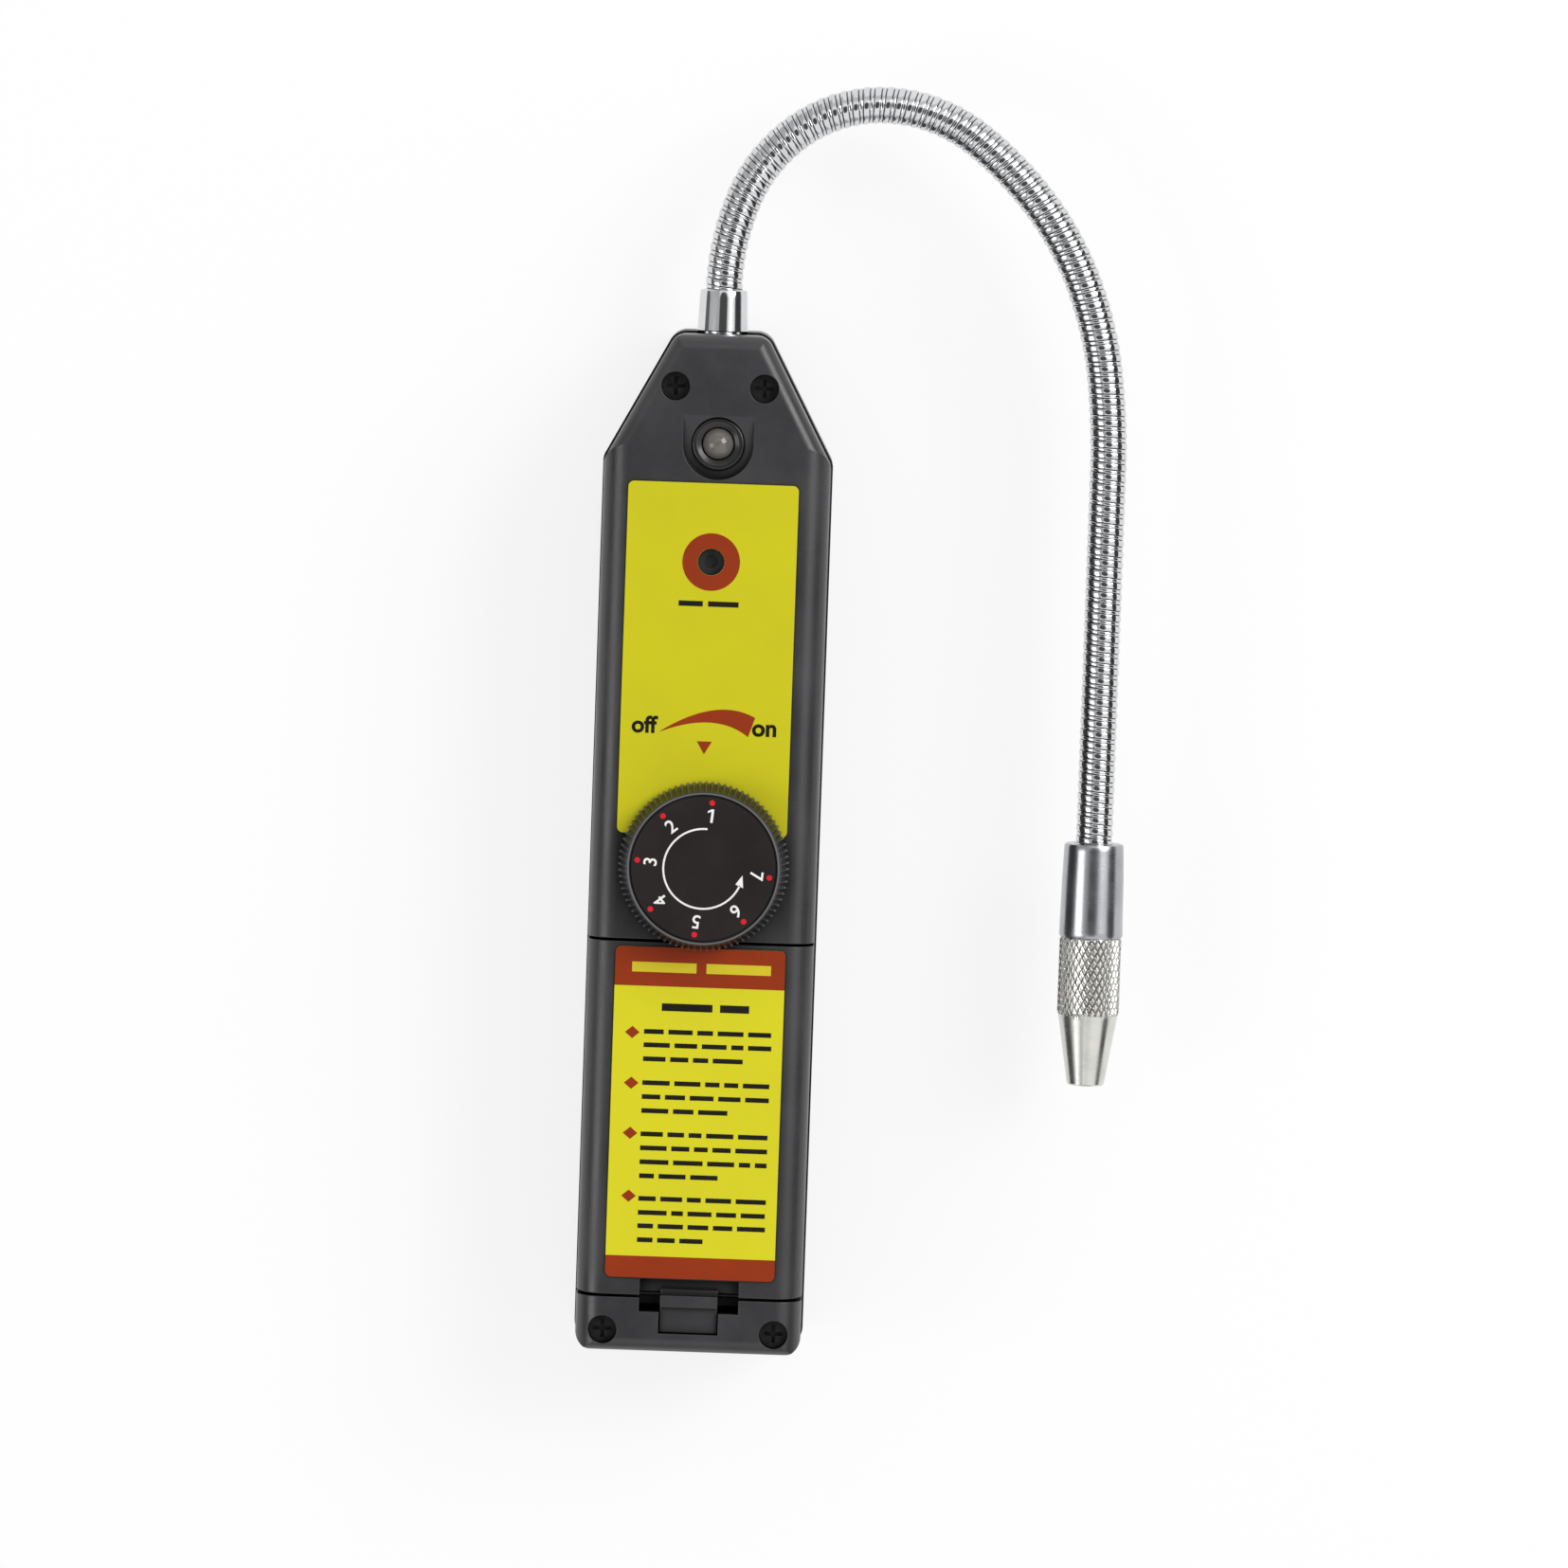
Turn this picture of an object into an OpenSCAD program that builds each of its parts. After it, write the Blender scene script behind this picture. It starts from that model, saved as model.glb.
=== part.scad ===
/* [Housing] */
// Length of the housing without the neck
body_l = 175; // [172:1:190]
// Width of the housing
body_w = 39.5; // [39:0.5:46]
// Depth of the housing from back to front
body_d = 36; // [35.5:0.5:42]
// Height of the parting line above the back
parting_z = 19; // [18:0.5:20]
// Wall thickness of the mouldings
wall = 2; // [1.6:0.1:2.2]
// Step by which the front moulding is smaller than the rear one
rim_step = 0.4; // [0.2:0.1:0.6]
// Radius of the long front edges
front_edge_r = 4.5; // [3.5:0.5:5]
// Radius of the long back edges
back_edge_r = 3.5; // [3:0.5:4]
// Radius of the edges across both ends
end_edge_r = 2.5; // [2.3:0.1:3]
// Radius of the corners seen from the front
corner_r = 3.5; // [2.5:0.5:4]
// Half width of the flat top end
top_flat = 8; // [7.5:0.5:9]
// Length of the sloped shoulders along the housing
shoulder_l = 22; // [20:1:24]

/* [Battery cover] */
// Height of the strip below the cover
strip_l = 9.8; // [9.4:0.2:12]
// Length of the opening for the cover
cover_l = 61.6; // [61:0.2:66]
// Gap around the cover
seam_gap = 0.5; // [0.3:0.1:0.6]
// Height of the side rails above the parting line
rail_h = 5; // [3:0.5:7]
// Width of the finger slot in the cover
slot_w = 17; // [14:0.5:20]
// Length of the finger slot along the cover
slot_l = 2.8; // [2:0.2:3]
// Width of the latch tongue
tongue_w = 9.8; // [8:0.2:11]
// Length of the latch tongue below the cover
tongue_l = 6.4; // [5.5:0.2:6.6]
// Depth by which the tongue's lower pad lies below the face
pad_drop = 0.8; // [0.4:0.1:1]
// Width of each hook at the cover's upper edge
hook_w = 5; // [4:0.5:7]
// Reach of the hooks under the front moulding
hook_l = 2.6; // [2:0.2:3]
// Slant of the cover's lower end, which lets it swing out past the strip
cover_draft = 1; // [0.9:0.1:1.6]

/* [Controls] */
// Distance from the cover seam to the knob's axis
knob_seam = 12.9; // [12:0.1:14]
// Diameter of the knob at its base
knob_d = 29.2; // [27:0.2:32]
// Diameter of the knob at its top
knob_top_d = 26.2; // [25:0.2:26.6]
// Height of the knob
knob_h = 6.2; // [5:0.1:8]
// Gap between the knob and the front face
knob_lift = 1.2; // [1:0.1:1.6]
// Number of grip teeth round the knob
knob_teeth = 84; // [60:1:96]
// Depth of the grip teeth
knob_tooth = 0.5; // [0.3:0.05:0.7]
// Diameter of the dial disc
dial_d = 24.6; // [22:0.2:24.8]
// Diameter of the control's shaft
shaft_d = 6; // [5:0.5:6]
// Diameter of the control's threaded bush
bush_d = 7; // [6.8:0.1:8]
// Diameter of the control's case
pot_d = 16.4; // [14:0.2:18]
// Distance from the top end down to the lamp
led_drop = 18.8; // [18.4:0.2:20]
// Diameter of the lamp
led_d = 5.6; // [4:0.2:6]
// Diameter of the lamp's ring
bezel_d = 9; // [8:0.2:10]
// Radius of the lamp's recess in the front face
led_recess_r = 6; // [5.5:0.1:6.4]
// Distance from the lamp up to where its recess fades out
led_fade = 4.8; // [4:0.2:5]
// Tilt of the recess floor
led_tilt = 10; // [5:0.5:11]
// Distance from the knob's axis up to the sounder hole
buzzer_up = 51.8; // [48:0.2:54]
// Diameter of the sounder hole
buzzer_hole_d = 4.6; // [3:0.2:6]
// Diameter of the sounder
buzzer_d = 13; // [10:0.5:15]

/* [Labels] */
// Width of both labels
label_w = 29; // [26:0.5:29.4]
// Length of the upper label
upper_label_l = 60; // [56:0.5:60.4]
// Distance from the knob's axis up to the upper label
label_up = 5.2; // [4:0.2:5.6]
// Length of the cover label
cover_label_l = 56.8; // [50:0.2:57]
// Thickness of the labels
label_t = 0.25; // [0.15:0.05:0.4]
// Corner radius of the labels
label_r = 1; // [0.5:0.1:2]

/* [Screws] */
// Distance of the upper screws from the centre line
upper_screw_x = 7.55; // [7.2:0.05:8]
// Distance from the top end down to the upper screws
upper_screw_drop = 9.2; // [9:0.1:10]
// Distance of the lower screws from the centre line
lower_screw_x = 14.65; // [14:0.05:15]
// Distance from the bottom end up to the lower screws
lower_screw_y = 4.1; // [4:0.1:4.4]
// Diameter of the screw wells
well_d = 4.9; // [4.6:0.1:5.2]
// Depth of the screw wells
well_depth = 4; // [3:0.5:6]
// Diameter of the screws' shanks
screw_d = 2.6; // [2.2:0.1:3]
// Diameter of the posts round the screws
post_d = 6.6; // [6.5:0.1:6.8]

/* [Gooseneck] */
// Length of one group of turns along the neck
link_l = 16; // [15:0.25:18]
// Diameter over the turns
neck_d = 6.5; // [6:0.1:6.8]
// Depth of the grooves between the turns
groove = 0.6; // [0.4:0.05:0.7]
// Pitch of the turns
turn_pitch = 1.8; // [1.6:0.05:2.2]
// Diameter of the slim waist behind each pivot ball
waist_d = 2.6; // [2.2:0.1:3]
// Wall of the cup round each pivot ball
cup_wall = 0.26; // [0.2:0.01:0.32]
// Length of the collar
collar_l = 7.2; // [6:0.2:9]
// Diameter of the collar at its base
collar_d = 8.7; // [8.2:0.1:9.5]
// Diameter of the collar at its top
collar_top_d = 8.1; // [7.6:0.1:8.6]

/* [Sensor tip] */
// Length of the smooth holder
holder_l = 16.2; // [14:0.2:20]
// Diameter of the holder at the neck
holder_d = 10.2; // [9.6:0.1:11]
// Diameter of the holder at the cap
holder_end_d = 11; // [10.8:0.1:12]
// Length of the knurled band
knurl_l = 13.4; // [11:0.1:15]
// Diameter over the knurl
knurl_d = 10.7; // [10.4:0.1:11]
// Depth of the knurl
knurl_depth = 0.35; // [0.2:0.05:0.45]
// Number of diamonds round the knurl
knurl_count = 30; // [24:1:36]
// Rows of diamonds along the knurl
knurl_rows = 12; // [8:2:16]
// Length of the cone
cone_l = 12.2; // [10:0.2:16]
// Diameter of the cone at the knurl
cone_d = 10.4; // [9.8:0.1:10.4]
// Diameter of the cone's free end
cone_end_d = 6.3; // [5.6:0.1:7]
// Diameter of the opening in the cone's end
inlet_d = 3.6; // [3:0.1:4]
// Diameter of the sensing element
sensor_d = 5.6; // [5:0.1:6]

/* [Inside] */
// Diameter of the battery cells
cell_d = 14.5; // [13.5:0.1:14.7]
// Length of the battery cells with their studs
cell_l = 50.5; // [49:0.1:50.8]
// Diameter of the cells' studs
stud_d = 5.5; // [4:0.1:6]
// Length of the cells' studs
stud_l = 1; // [0.8:0.1:1.4]
// Thickness of the battery contacts
contact_t = 0.4; // [0.3:0.05:0.5]
// Thickness of the circuit board
board_t = 1.6; // [1:0.1:2]
// Length of the circuit board
board_l = 72; // [60:1:74]
// Width of the circuit board
board_w = 30; // [26:0.5:32]
// Height of the circuit board above the back
board_z = 7; // [5:0.5:8]
// Side of the transformer
transformer_w = 13; // [10:0.5:15]
// Diameter of the capacitor
capacitor_d = 8; // [6:0.5:10]

/* [Hidden] */
$fn = 96;

// Clearances
fit = 0.05;
slack = 0.4;
over = 1;

// Housing, whose shoulder arcs reach slightly past the flats that trim them
arc_bulge = 0.02;
front_h = body_d - parting_z;
inner_z = body_d - wall;
front_half = body_w / 2 - rim_step;
slope_turn = atan2(body_w / 2 - top_flat, shoulder_l);
screw_places = [
    [-upper_screw_x, body_l - upper_screw_drop], [upper_screw_x, body_l - upper_screw_drop],
    [-lower_screw_x, lower_screw_y], [lower_screw_x, lower_screw_y]];
head_z = body_d - well_depth;
head_h = 1.8;

// Battery cover and tray
cover_y0 = strip_l;
cover_y1 = strip_l + cover_l;
rail_z = parting_z + rail_h;
tray_wall = 1.5;
hook_room = 2;
hook_t = 1.5;
bay_y0 = cover_y0;
bay_y1 = cover_y1 - hook_room - tray_wall;
bay_l = bay_y1 - bay_y0;
cell_x = cell_d / 2 + slack / 2;
bay_half = 2 * cell_x + slack / 2 + fit;
cell_z = inner_z - 1 - cell_d / 2;
tray_top = cell_z - cell_d / 2 - fit;
tray_half = front_half - wall + slack / 4;
tray_end_z = inner_z - hook_t - 2 * slack;
tongue_y0 = cover_y0 + seam_gap - tongue_l;
slot_floor_y = cover_y0 + seam_gap + cover_draft / 2;
ridge_l = 2;
tongue_t = 0.8;
slot_floor_t = 0.7;
slot_rim = 1;
notch_side = 3.6;
notch_l = 2.4;
hook_x = 10;
contact_rim = 2;
spring_r = 4;
spring_top_r = 2.4;
spring_wire_r = 0.35;
spring_turns = 3;

// Controls
knob_y = cover_y1 + knob_seam;
knob_z = body_d + knob_lift;
knob_wall = 2.4;
hub_wall = 2;
dial_t = 0.5;
nut_h = 2.2;
nut_flat = bush_d + 3;
pot_h = 9;
led_y = body_l - led_drop;
led_depth = led_fade * tan(led_tilt);
bezel_t = 1.4;
bezel_rise = 0.4;
bezel_z = body_d - led_depth + bezel_rise - bezel_t;
led_pad_t = 1.2;
led_pad_rim = 1.5;
bezel_wall = 0.7;
buzzer_x = -0.5;
buzzer_y = knob_y + buzzer_up;
buzzer_h = 6;

// Labels
upper_label_x = -0.5;
upper_label_y = knob_y + label_up;
cover_label_y = cover_y1 - seam_gap - 0.8 - cover_label_l;

// Board
board_gap = 6;
board_y0 = cover_y1 + board_gap;
board_inset = 4;
board_places = [
    for (x = [-1, 1], end = [0, 1])
        [x * (board_w / 2 - board_inset), board_y0 + board_inset + end * (board_l - 2 * board_inset)]];
board_screw_d = 2;
board_post_d = 5;

// Gooseneck, with the clockwise bend of each group of turns from the collar to the tip
bend_angles = [21, 34, 37.5, 34, 15, 17, 14, 7.5, 0, 0, 0, 0];
links = len(bend_angles);
neck_r = neck_d / 2;
core_r = neck_r - groove;
spigot_d = 6.9;
plug_l = 6;
plug_d = 5;
neck_nut_h = 2.8;
neck_nut_flat = 10;
ball_r = neck_r - cup_wall - fit;
pivot_room = 0.3;
neck_base = [0, body_l + collar_l, parting_z];

// Sensor tip
tip_spigot_l = 4;
tip_spigot_d = 8.4;
tip_bore_d = 7.2;
sensor_seat = 5;
sensor_l = 15;

// Sum of the bends before group i, which is the heading there, clockwise from the housing's length
function heading(i) = i <= 0 ? 0 : heading(i - 1) + bend_angles[i - 1];

// Straight distance between the ends of an arc of the given bend
function chord(bend) = bend == 0 ? link_l : 2 * arc_r(bend) * sin(bend / 2);

// Radius of an arc that turns through the given bend over one group of turns
function arc_r(bend) = link_l * 180 / (PI * bend);

// Start of group i along the neck's middle line
function link_start(i) = i <= 0
    ? neck_base
    : link_start(i - 1) + chord(bend_angles[i - 1]) * [sin(chord_turn(i - 1)), cos(chord_turn(i - 1)), 0];

function chord_turn(i) = heading(i) + bend_angles[i] / 2;

// Zigzag outline with pointed teeth
function teeth_outline(r_tip, depth, count) = [
    for (i = [0:2 * count - 1])
        let (r = i % 2 == 0 ? r_tip : r_tip - depth, turn = 180 * i / count)
            r * [cos(turn), sin(turn)]];

// Puts the housing's middle at the origin
module in_frame() {
    translate([0, -body_l / 2, 0]) children();
}

// Rectangle round the vertical axis with its two upper corners rounded
module arch_profile(half, low, high, r) {
    translate([-half, low]) square([2 * half, high - low - r]);
    translate([r - half, low]) square([2 * (half - r), high - low]);
    for (side = [-1, 1])
        translate([side * (half - r), high - r]) circle(r);
}

// Everything left of the vertical axis, with the upper corner rounded
module edge_profile(reach, low, high, r) {
    translate([-reach, low]) square([reach, high - low - r]);
    translate([-reach, low]) square([reach - r, high - low]);
    translate([-r, high - r]) circle(r);
}

// View from the front, open at the sides and the ends, with the bottom and shoulder corners rounded
module plan(inset) {
    r = max(corner_r - inset, end_edge_r / 4);
    edge = inset + r;
    arc_x = body_w / 2 - edge;
    away = [cos(slope_turn), sin(slope_turn)];
    side_arc = [arc_x, body_l - (edge + away[0] * (arc_x - top_flat)) / away[1]];
    top_arc = [top_flat - edge * (1 - away[1]) / away[0], body_l - edge];
    translate([-arc_x, -over]) square([2 * arc_x, body_l / 2]);
    for (side = [0, 1])
        mirror([side, 0]) {
            polygon([
                [-over, edge], [body_w, edge], [body_w, side_arc[1]], side_arc, side_arc + body_w * away,
                top_arc + body_w * away, top_arc, [top_arc[0], body_l + over], [-over, body_l + over]]);
            translate([arc_x, edge]) circle(r);
            for (place = [side_arc, top_arc])
                translate(place) circle(r + arc_bulge);
        }
}

// One half of the housing's form above the parting line, with rounded outer edges
module case_half(inset, height, side_r, end_r, low = 0) {
    half = body_w / 2 - inset;
    intersection() {
        translate([0, body_l + over, 0])
            rotate([90, 0, 0]) linear_extrude(body_l + 2 * over) arch_profile(half, low, height, side_r);
        translate([-body_w, body_l / 2, 0])
            rotate([90, 0, 90]) linear_extrude(2 * body_w)
                arch_profile(body_l / 2 - inset, low - over, height, end_r);
        translate([0, 0, low - over])
            linear_extrude(height - low + 2 * over) plan(inset);
        intersection_for (side = [0, 1])
            mirror([side, 0, 0])
                translate([top_flat, body_l, 0]) rotate([0, 0, slope_turn]) translate([-inset, 0, 0])
                    rotate([90, 0, 0]) linear_extrude(4 * body_l, center = true)
                        edge_profile(2 * body_l, low - over, height, end_r);
    }
}

// Shell of the front moulding before anything is cut from it
module front_shell() {
    inset = rim_step + wall;
    translate([0, 0, parting_z]) difference() {
        case_half(rim_step, front_h, front_edge_r, end_edge_r);
        case_half(inset, front_h - wall, front_edge_r - wall, end_edge_r - wall + fit, -over);
    }
}

// Upright round bar from one height to another
module bar(place, d, low, high) {
    translate([place[0], place[1], low]) cylinder(d = d, h = high - low);
}

// Flat plate with round corners
module round_plate(w, l, t, r) {
    linear_extrude(t) {
        translate([r - w / 2, 0]) square([w - 2 * r, l]);
        translate([-w / 2, r]) square([w, l - 2 * r]);
        for (x = [-1, 1], y = [r, l - r])
            translate([x * (w / 2 - r), y]) circle(r);
    }
}

// Tray for the cells, hung from the side walls of the front moulding
module battery_tray() {
    low = tray_top - tray_wall;
    difference() {
        translate([-tray_half, bay_y0 - tray_wall, low])
            cube([2 * tray_half, bay_l + 2 * tray_wall, tray_end_z - low]);
        translate([-bay_half, bay_y0, tray_top]) cube([2 * bay_half, bay_l, body_d]);
        for (side = [0, 1])
            mirror([side, 0, 0])
                translate([bay_half, bay_y0 - tray_wall - over, rail_z])
                    cube([body_w, bay_l + 2 * (tray_wall + over), body_d]);
    }
}

// Room for the latch: the tongue's channel and the two finger notches beside it
module latch_room() {
    deep = body_d - wall - slack;
    translate([-tongue_w / 2 - slack / 2, tongue_y0 - slack / 2, deep])
        cube([tongue_w + slack, strip_l, body_d]);
    translate([-tongue_w / 2 - notch_side, cover_y0 - notch_l, deep])
        cube([tongue_w + 2 * notch_side, strip_l, body_d]);
}

// Recess round the lamp, which fades out towards the top end
module led_recess() {
    translate([0, led_y + led_fade, body_d]) rotate([led_tilt, 0, 0]) translate([0, -led_fade, 0])
        linear_extrude(body_d) {
            circle(led_recess_r);
            translate([-led_recess_r, 0]) square([2 * led_recess_r, 4 * led_fade]);
        }
}

module front_housing() {
    color("#3b3b3d") difference() {
        union() {
            difference() {
                front_shell();
                translate([-body_w, cover_y0, rail_z]) cube([2 * body_w, cover_l, body_d]);
            }
            battery_tray();
            for (place = screw_places)
                bar(place, post_d, parting_z, inner_z + wall / 4);
            bar([0, led_y], 2 * (led_recess_r + led_pad_rim), inner_z - led_pad_t, inner_z + wall / 4);
        }
        for (place = screw_places) {
            bar(place, well_d, head_z, body_d + over);
            bar(place, screw_d + 4 * fit, parting_z - over, head_z + over);
        }
        led_recess();
        bar([0, led_y], bezel_d + 2 * fit, bezel_z, body_d + over);
        bar([0, led_y], led_d + 2 * (bezel_wall + 2 * fit), inner_z - wall, body_d);
        bar([buzzer_x, buzzer_y], buzzer_hole_d, inner_z - over, body_d + over);
        bar([0, knob_y], bush_d + 2 * fit, inner_z - over, body_d + over);
        latch_room();
        translate([0, body_l + over, parting_z])
            rotate([90, 0, 0]) cylinder(d = spigot_d + 4 * fit, h = 2 * (wall + over));
    }
}

module rear_housing() {
    color("#303032") difference() {
        union() {
            translate([0, 0, parting_z]) mirror([0, 0, 1]) difference() {
                case_half(0, parting_z, back_edge_r, end_edge_r);
                case_half(wall, parting_z - wall, back_edge_r - wall, end_edge_r - wall + fit, -over);
            }
            for (place = screw_places)
                bar(place, post_d, wall / 2, parting_z);
            for (place = board_places)
                bar(place, board_post_d, wall / 2, board_z);
        }
        for (place = screw_places)
            bar(place, screw_d + 2 * fit, wall, parting_z + over);
        for (place = board_places)
            bar(place, board_screw_d + 2 * fit, wall, board_z + over);
        translate([0, body_l + over, parting_z])
            rotate([90, 0, 0]) cylinder(d = spigot_d + 4 * fit, h = 2 * (wall + over));
    }
}

// Springy tongue below the cover: a root in the slot, a ridge and a lower pad
module latch_tongue() {
    left = -tongue_w / 2;
    translate([left, tongue_y0, inner_z]) cube([tongue_w, tongue_l + over, tongue_t]);
    translate([left, slot_floor_y, inner_z - slot_floor_t / 2])
        cube([tongue_w, over / 2, slot_floor_t / 2 + tongue_t]);
    translate([left, tongue_y0, inner_z]) cube([tongue_w, tongue_l - ridge_l, wall - pad_drop]);
    translate([left, tongue_y0 + tongue_l - ridge_l, inner_z]) cube([tongue_w, ridge_l, wall]);
}

// Two hooks that reach under the front moulding
module cover_hooks() {
    edge = cover_y1 - seam_gap;
    root = hook_room - seam_gap - slack / 2;
    low = inner_z - slack - hook_t;
    for (x = [-hook_x, hook_x])
        translate([x - hook_w / 2, edge - root, low]) {
            cube([hook_w, root, hook_t + slack + wall / 4]);
            cube([hook_w, root + hook_l, hook_t]);
        }
}

// Side view of the cover, drawn across the whole width
module cover_block() {
    low = rail_z + seam_gap;
    y0 = cover_y0 + seam_gap;
    y1 = cover_y1 - seam_gap;
    translate([-body_w, 0, 0]) rotate([90, 0, 90]) linear_extrude(2 * body_w)
        polygon([[y0 + cover_draft, low], [y1, low], [y1, body_d + over], [y0, body_d + over], [y0, body_d]]);
}

module battery_cover() {
    color("#3b3b3d") {
        difference() {
            union() {
                intersection() {
                    front_shell();
                    cover_block();
                }
                translate([-slot_w / 2 - slot_rim, slot_floor_y, inner_z - slot_floor_t])
                    cube([slot_w + 2 * slot_rim, slot_l, slot_floor_t + wall / 4]);
            }
            translate([-slot_w / 2, cover_y0, inner_z]) cube([slot_w, seam_gap + slot_l, body_d]);
        }
        latch_tongue();
        cover_hooks();
    }
}

// Pan head with a cross recess on a plain shank
module cross_screw(head_d, head, shank_d, shank) {
    cross = head_d / 7;
    difference() {
        union() {
            cylinder(d = head_d, h = head);
            translate([0, 0, -shank]) cylinder(d = shank_d, h = shank);
        }
        for (turn = [0, 90])
            rotate([0, 0, turn]) translate([-head_d / 3, -cross / 2, head / 2])
                cube([2 * head_d / 3, cross, head]);
    }
}

module housing_screws() {
    color("#1c1c1e")
        for (place = screw_places)
            translate([place[0], place[1], head_z])
                cross_screw(well_d - 4 * fit, head_h, screw_d, head_z - wall - over);
}

module board_screws() {
    color("silver")
        for (place = board_places)
            translate([place[0], place[1], board_z + board_t])
                cross_screw(2 * board_screw_d, board_screw_d / 2, board_screw_d, board_z + board_t - wall - over);
}

module upper_label() {
    color("#d2cc2e") difference() {
        translate([upper_label_x, upper_label_y, body_d]) round_plate(label_w, upper_label_l, label_t, label_r);
        bar([buzzer_x, buzzer_y], buzzer_hole_d, body_d - over, body_d + over);
        bar([0, knob_y], nut_flat * 1.2 + slack, body_d - over, body_d + over);
    }
}

module cover_label() {
    color("#ded832")
        translate([0, cover_label_y, body_d]) round_plate(label_w, cover_label_l, label_t, label_r);
}

module led_bezel() {
    color("#141416") translate([0, led_y, 0]) difference() {
        union() {
            translate([0, 0, bezel_z]) cylinder(d = bezel_d, h = bezel_t);
            translate([0, 0, inner_z - wall]) cylinder(d = led_d + 2 * (bezel_wall + fit), h = wall + over);
        }
        translate([0, 0, inner_z - wall - over]) cylinder(d = led_d + 2 * fit, h = body_d);
    }
}

module led_lens() {
    r = led_d / 2;
    base = inner_z - wall;
    dome = body_d - led_depth - r / 2;
    color("#c9c9c4") translate([0, led_y, 0]) rotate_extrude() {
        translate([0, base]) square([r, dome - base]);
        intersection() {
            translate([0, dome]) circle(r);
            translate([0, dome - over]) square(r + 2 * over);
        }
    }
}

// Grip ring of fine teeth, a top plate and a hub, open underneath
module sensitivity_knob() {
    top = knob_z + knob_h;
    plate = top - knob_wall;
    hub_low = body_d + nut_h + slack;
    color("#343234") translate([0, knob_y, 0]) difference() {
        translate([0, 0, knob_z])
            linear_extrude(knob_h, scale = knob_top_d / knob_d)
                polygon(teeth_outline(knob_d / 2, knob_tooth, knob_teeth));
        difference() {
            translate([0, 0, knob_z - over]) cylinder(d = knob_top_d - 2 * knob_wall, h = plate - knob_z + over);
            translate([0, 0, hub_low]) cylinder(d = shaft_d + 2 * hub_wall, h = knob_h);
        }
        translate([0, 0, knob_z]) cylinder(d = shaft_d + 2 * fit, h = knob_h - knob_wall / 2);
        translate([0, 0, top - dial_t]) cylinder(d = dial_d + 2 * fit, h = knob_h);
    }
}

module knob_dial() {
    color("#2a2729") translate([0, knob_y, knob_z + knob_h - dial_t]) cylinder(d = dial_d, h = dial_t);
}

module potentiometer() {
    color("#8d9094") translate([0, knob_y, 0]) difference() {
        union() {
            translate([0, 0, inner_z - pot_h]) cylinder(d = pot_d, h = pot_h);
            translate([0, 0, inner_z - over]) cylinder(d = bush_d, h = wall + nut_h + over);
        }
        translate([0, 0, inner_z - pot_h / 2]) cylinder(d = shaft_d + 2 * fit, h = body_d);
    }
}

module pot_shaft() {
    low = inner_z - pot_h / 2 + slack;
    high = knob_z + knob_h - knob_wall / 2 - slack;
    color("#b9bcc0") translate([0, knob_y, low]) cylinder(d = shaft_d, h = high - low);
}

// Six-sided nut with a round hole
module hex_nut(flat, hole, h) {
    difference() {
        cylinder(d = flat / cos(30), h = h, $fn = 6);
        translate([0, 0, -over]) cylinder(d = hole, h = h + 2 * over);
    }
}

module pot_nut() {
    color("#c4c6c8") translate([0, knob_y, body_d]) hex_nut(nut_flat, bush_d + 2 * fit, nut_h);
}

module main_board() {
    color("#2f6b3c") difference() {
        translate([-board_w / 2, board_y0, board_z]) cube([board_w, board_l, board_t]);
        for (place = board_places)
            bar(place, board_screw_d + 2 * fit, board_z - over, board_z + board_t + over);
    }
}

module transformer() {
    side = transformer_w;
    top = board_z + board_t;
    color("#c9a227") translate([-side / 2, board_y0 + 2 * side, top]) {
        cube([side, side, side / 5]);
        translate([side / 5, side / 5, 0]) cube([3 * side / 5, 3 * side / 5, side]);
        translate([0, 0, 3 * side / 5]) cube([side, side, side / 5]);
    }
}

module capacitor() {
    color("#27406e") translate([0, board_y0 + 4 * transformer_w, board_z + board_t])
        cylinder(d = capacitor_d, h = 1.4 * capacitor_d);
}

module buzzer() {
    color("#222224") translate([buzzer_x, buzzer_y, inner_z - buzzer_h]) difference() {
        cylinder(d = buzzer_d, h = buzzer_h);
        translate([0, 0, buzzer_h - over]) cylinder(d = buzzer_hole_d / 2, h = 2 * over);
    }
}

// Cell on its side, with its stud towards the top end
module cell() {
    rotate([-90, 0, 0]) {
        cylinder(d = cell_d, h = cell_l - stud_l);
        cylinder(d = stud_d, h = cell_l);
    }
}

module battery_cell_left() {
    color("#3d6ea5") translate([-cell_x, bay_y1 - contact_t - fit - cell_l, cell_z]) cell();
}

module battery_cell_right() {
    color("#3d6ea5") translate([cell_x, bay_y0 + contact_t + fit + cell_l, cell_z]) rotate([0, 0, 180]) cell();
}

// Plate at the tray's lower end that joins the two cells
module contact_bridge() {
    side = stud_d + 2 * contact_rim;
    color("silver") translate([-cell_x - side / 2, bay_y0, cell_z - side / 2])
        cube([2 * cell_x + side, contact_t, side]);
}

// Two plates at the tray's upper end
module contact_tabs() {
    side = stud_d + 2 * contact_rim;
    color("silver")
        for (x = [-cell_x, cell_x])
            translate([x - side / 2, bay_y1 - contact_t, cell_z - side / 2]) cube([side, contact_t, side]);
}

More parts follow.
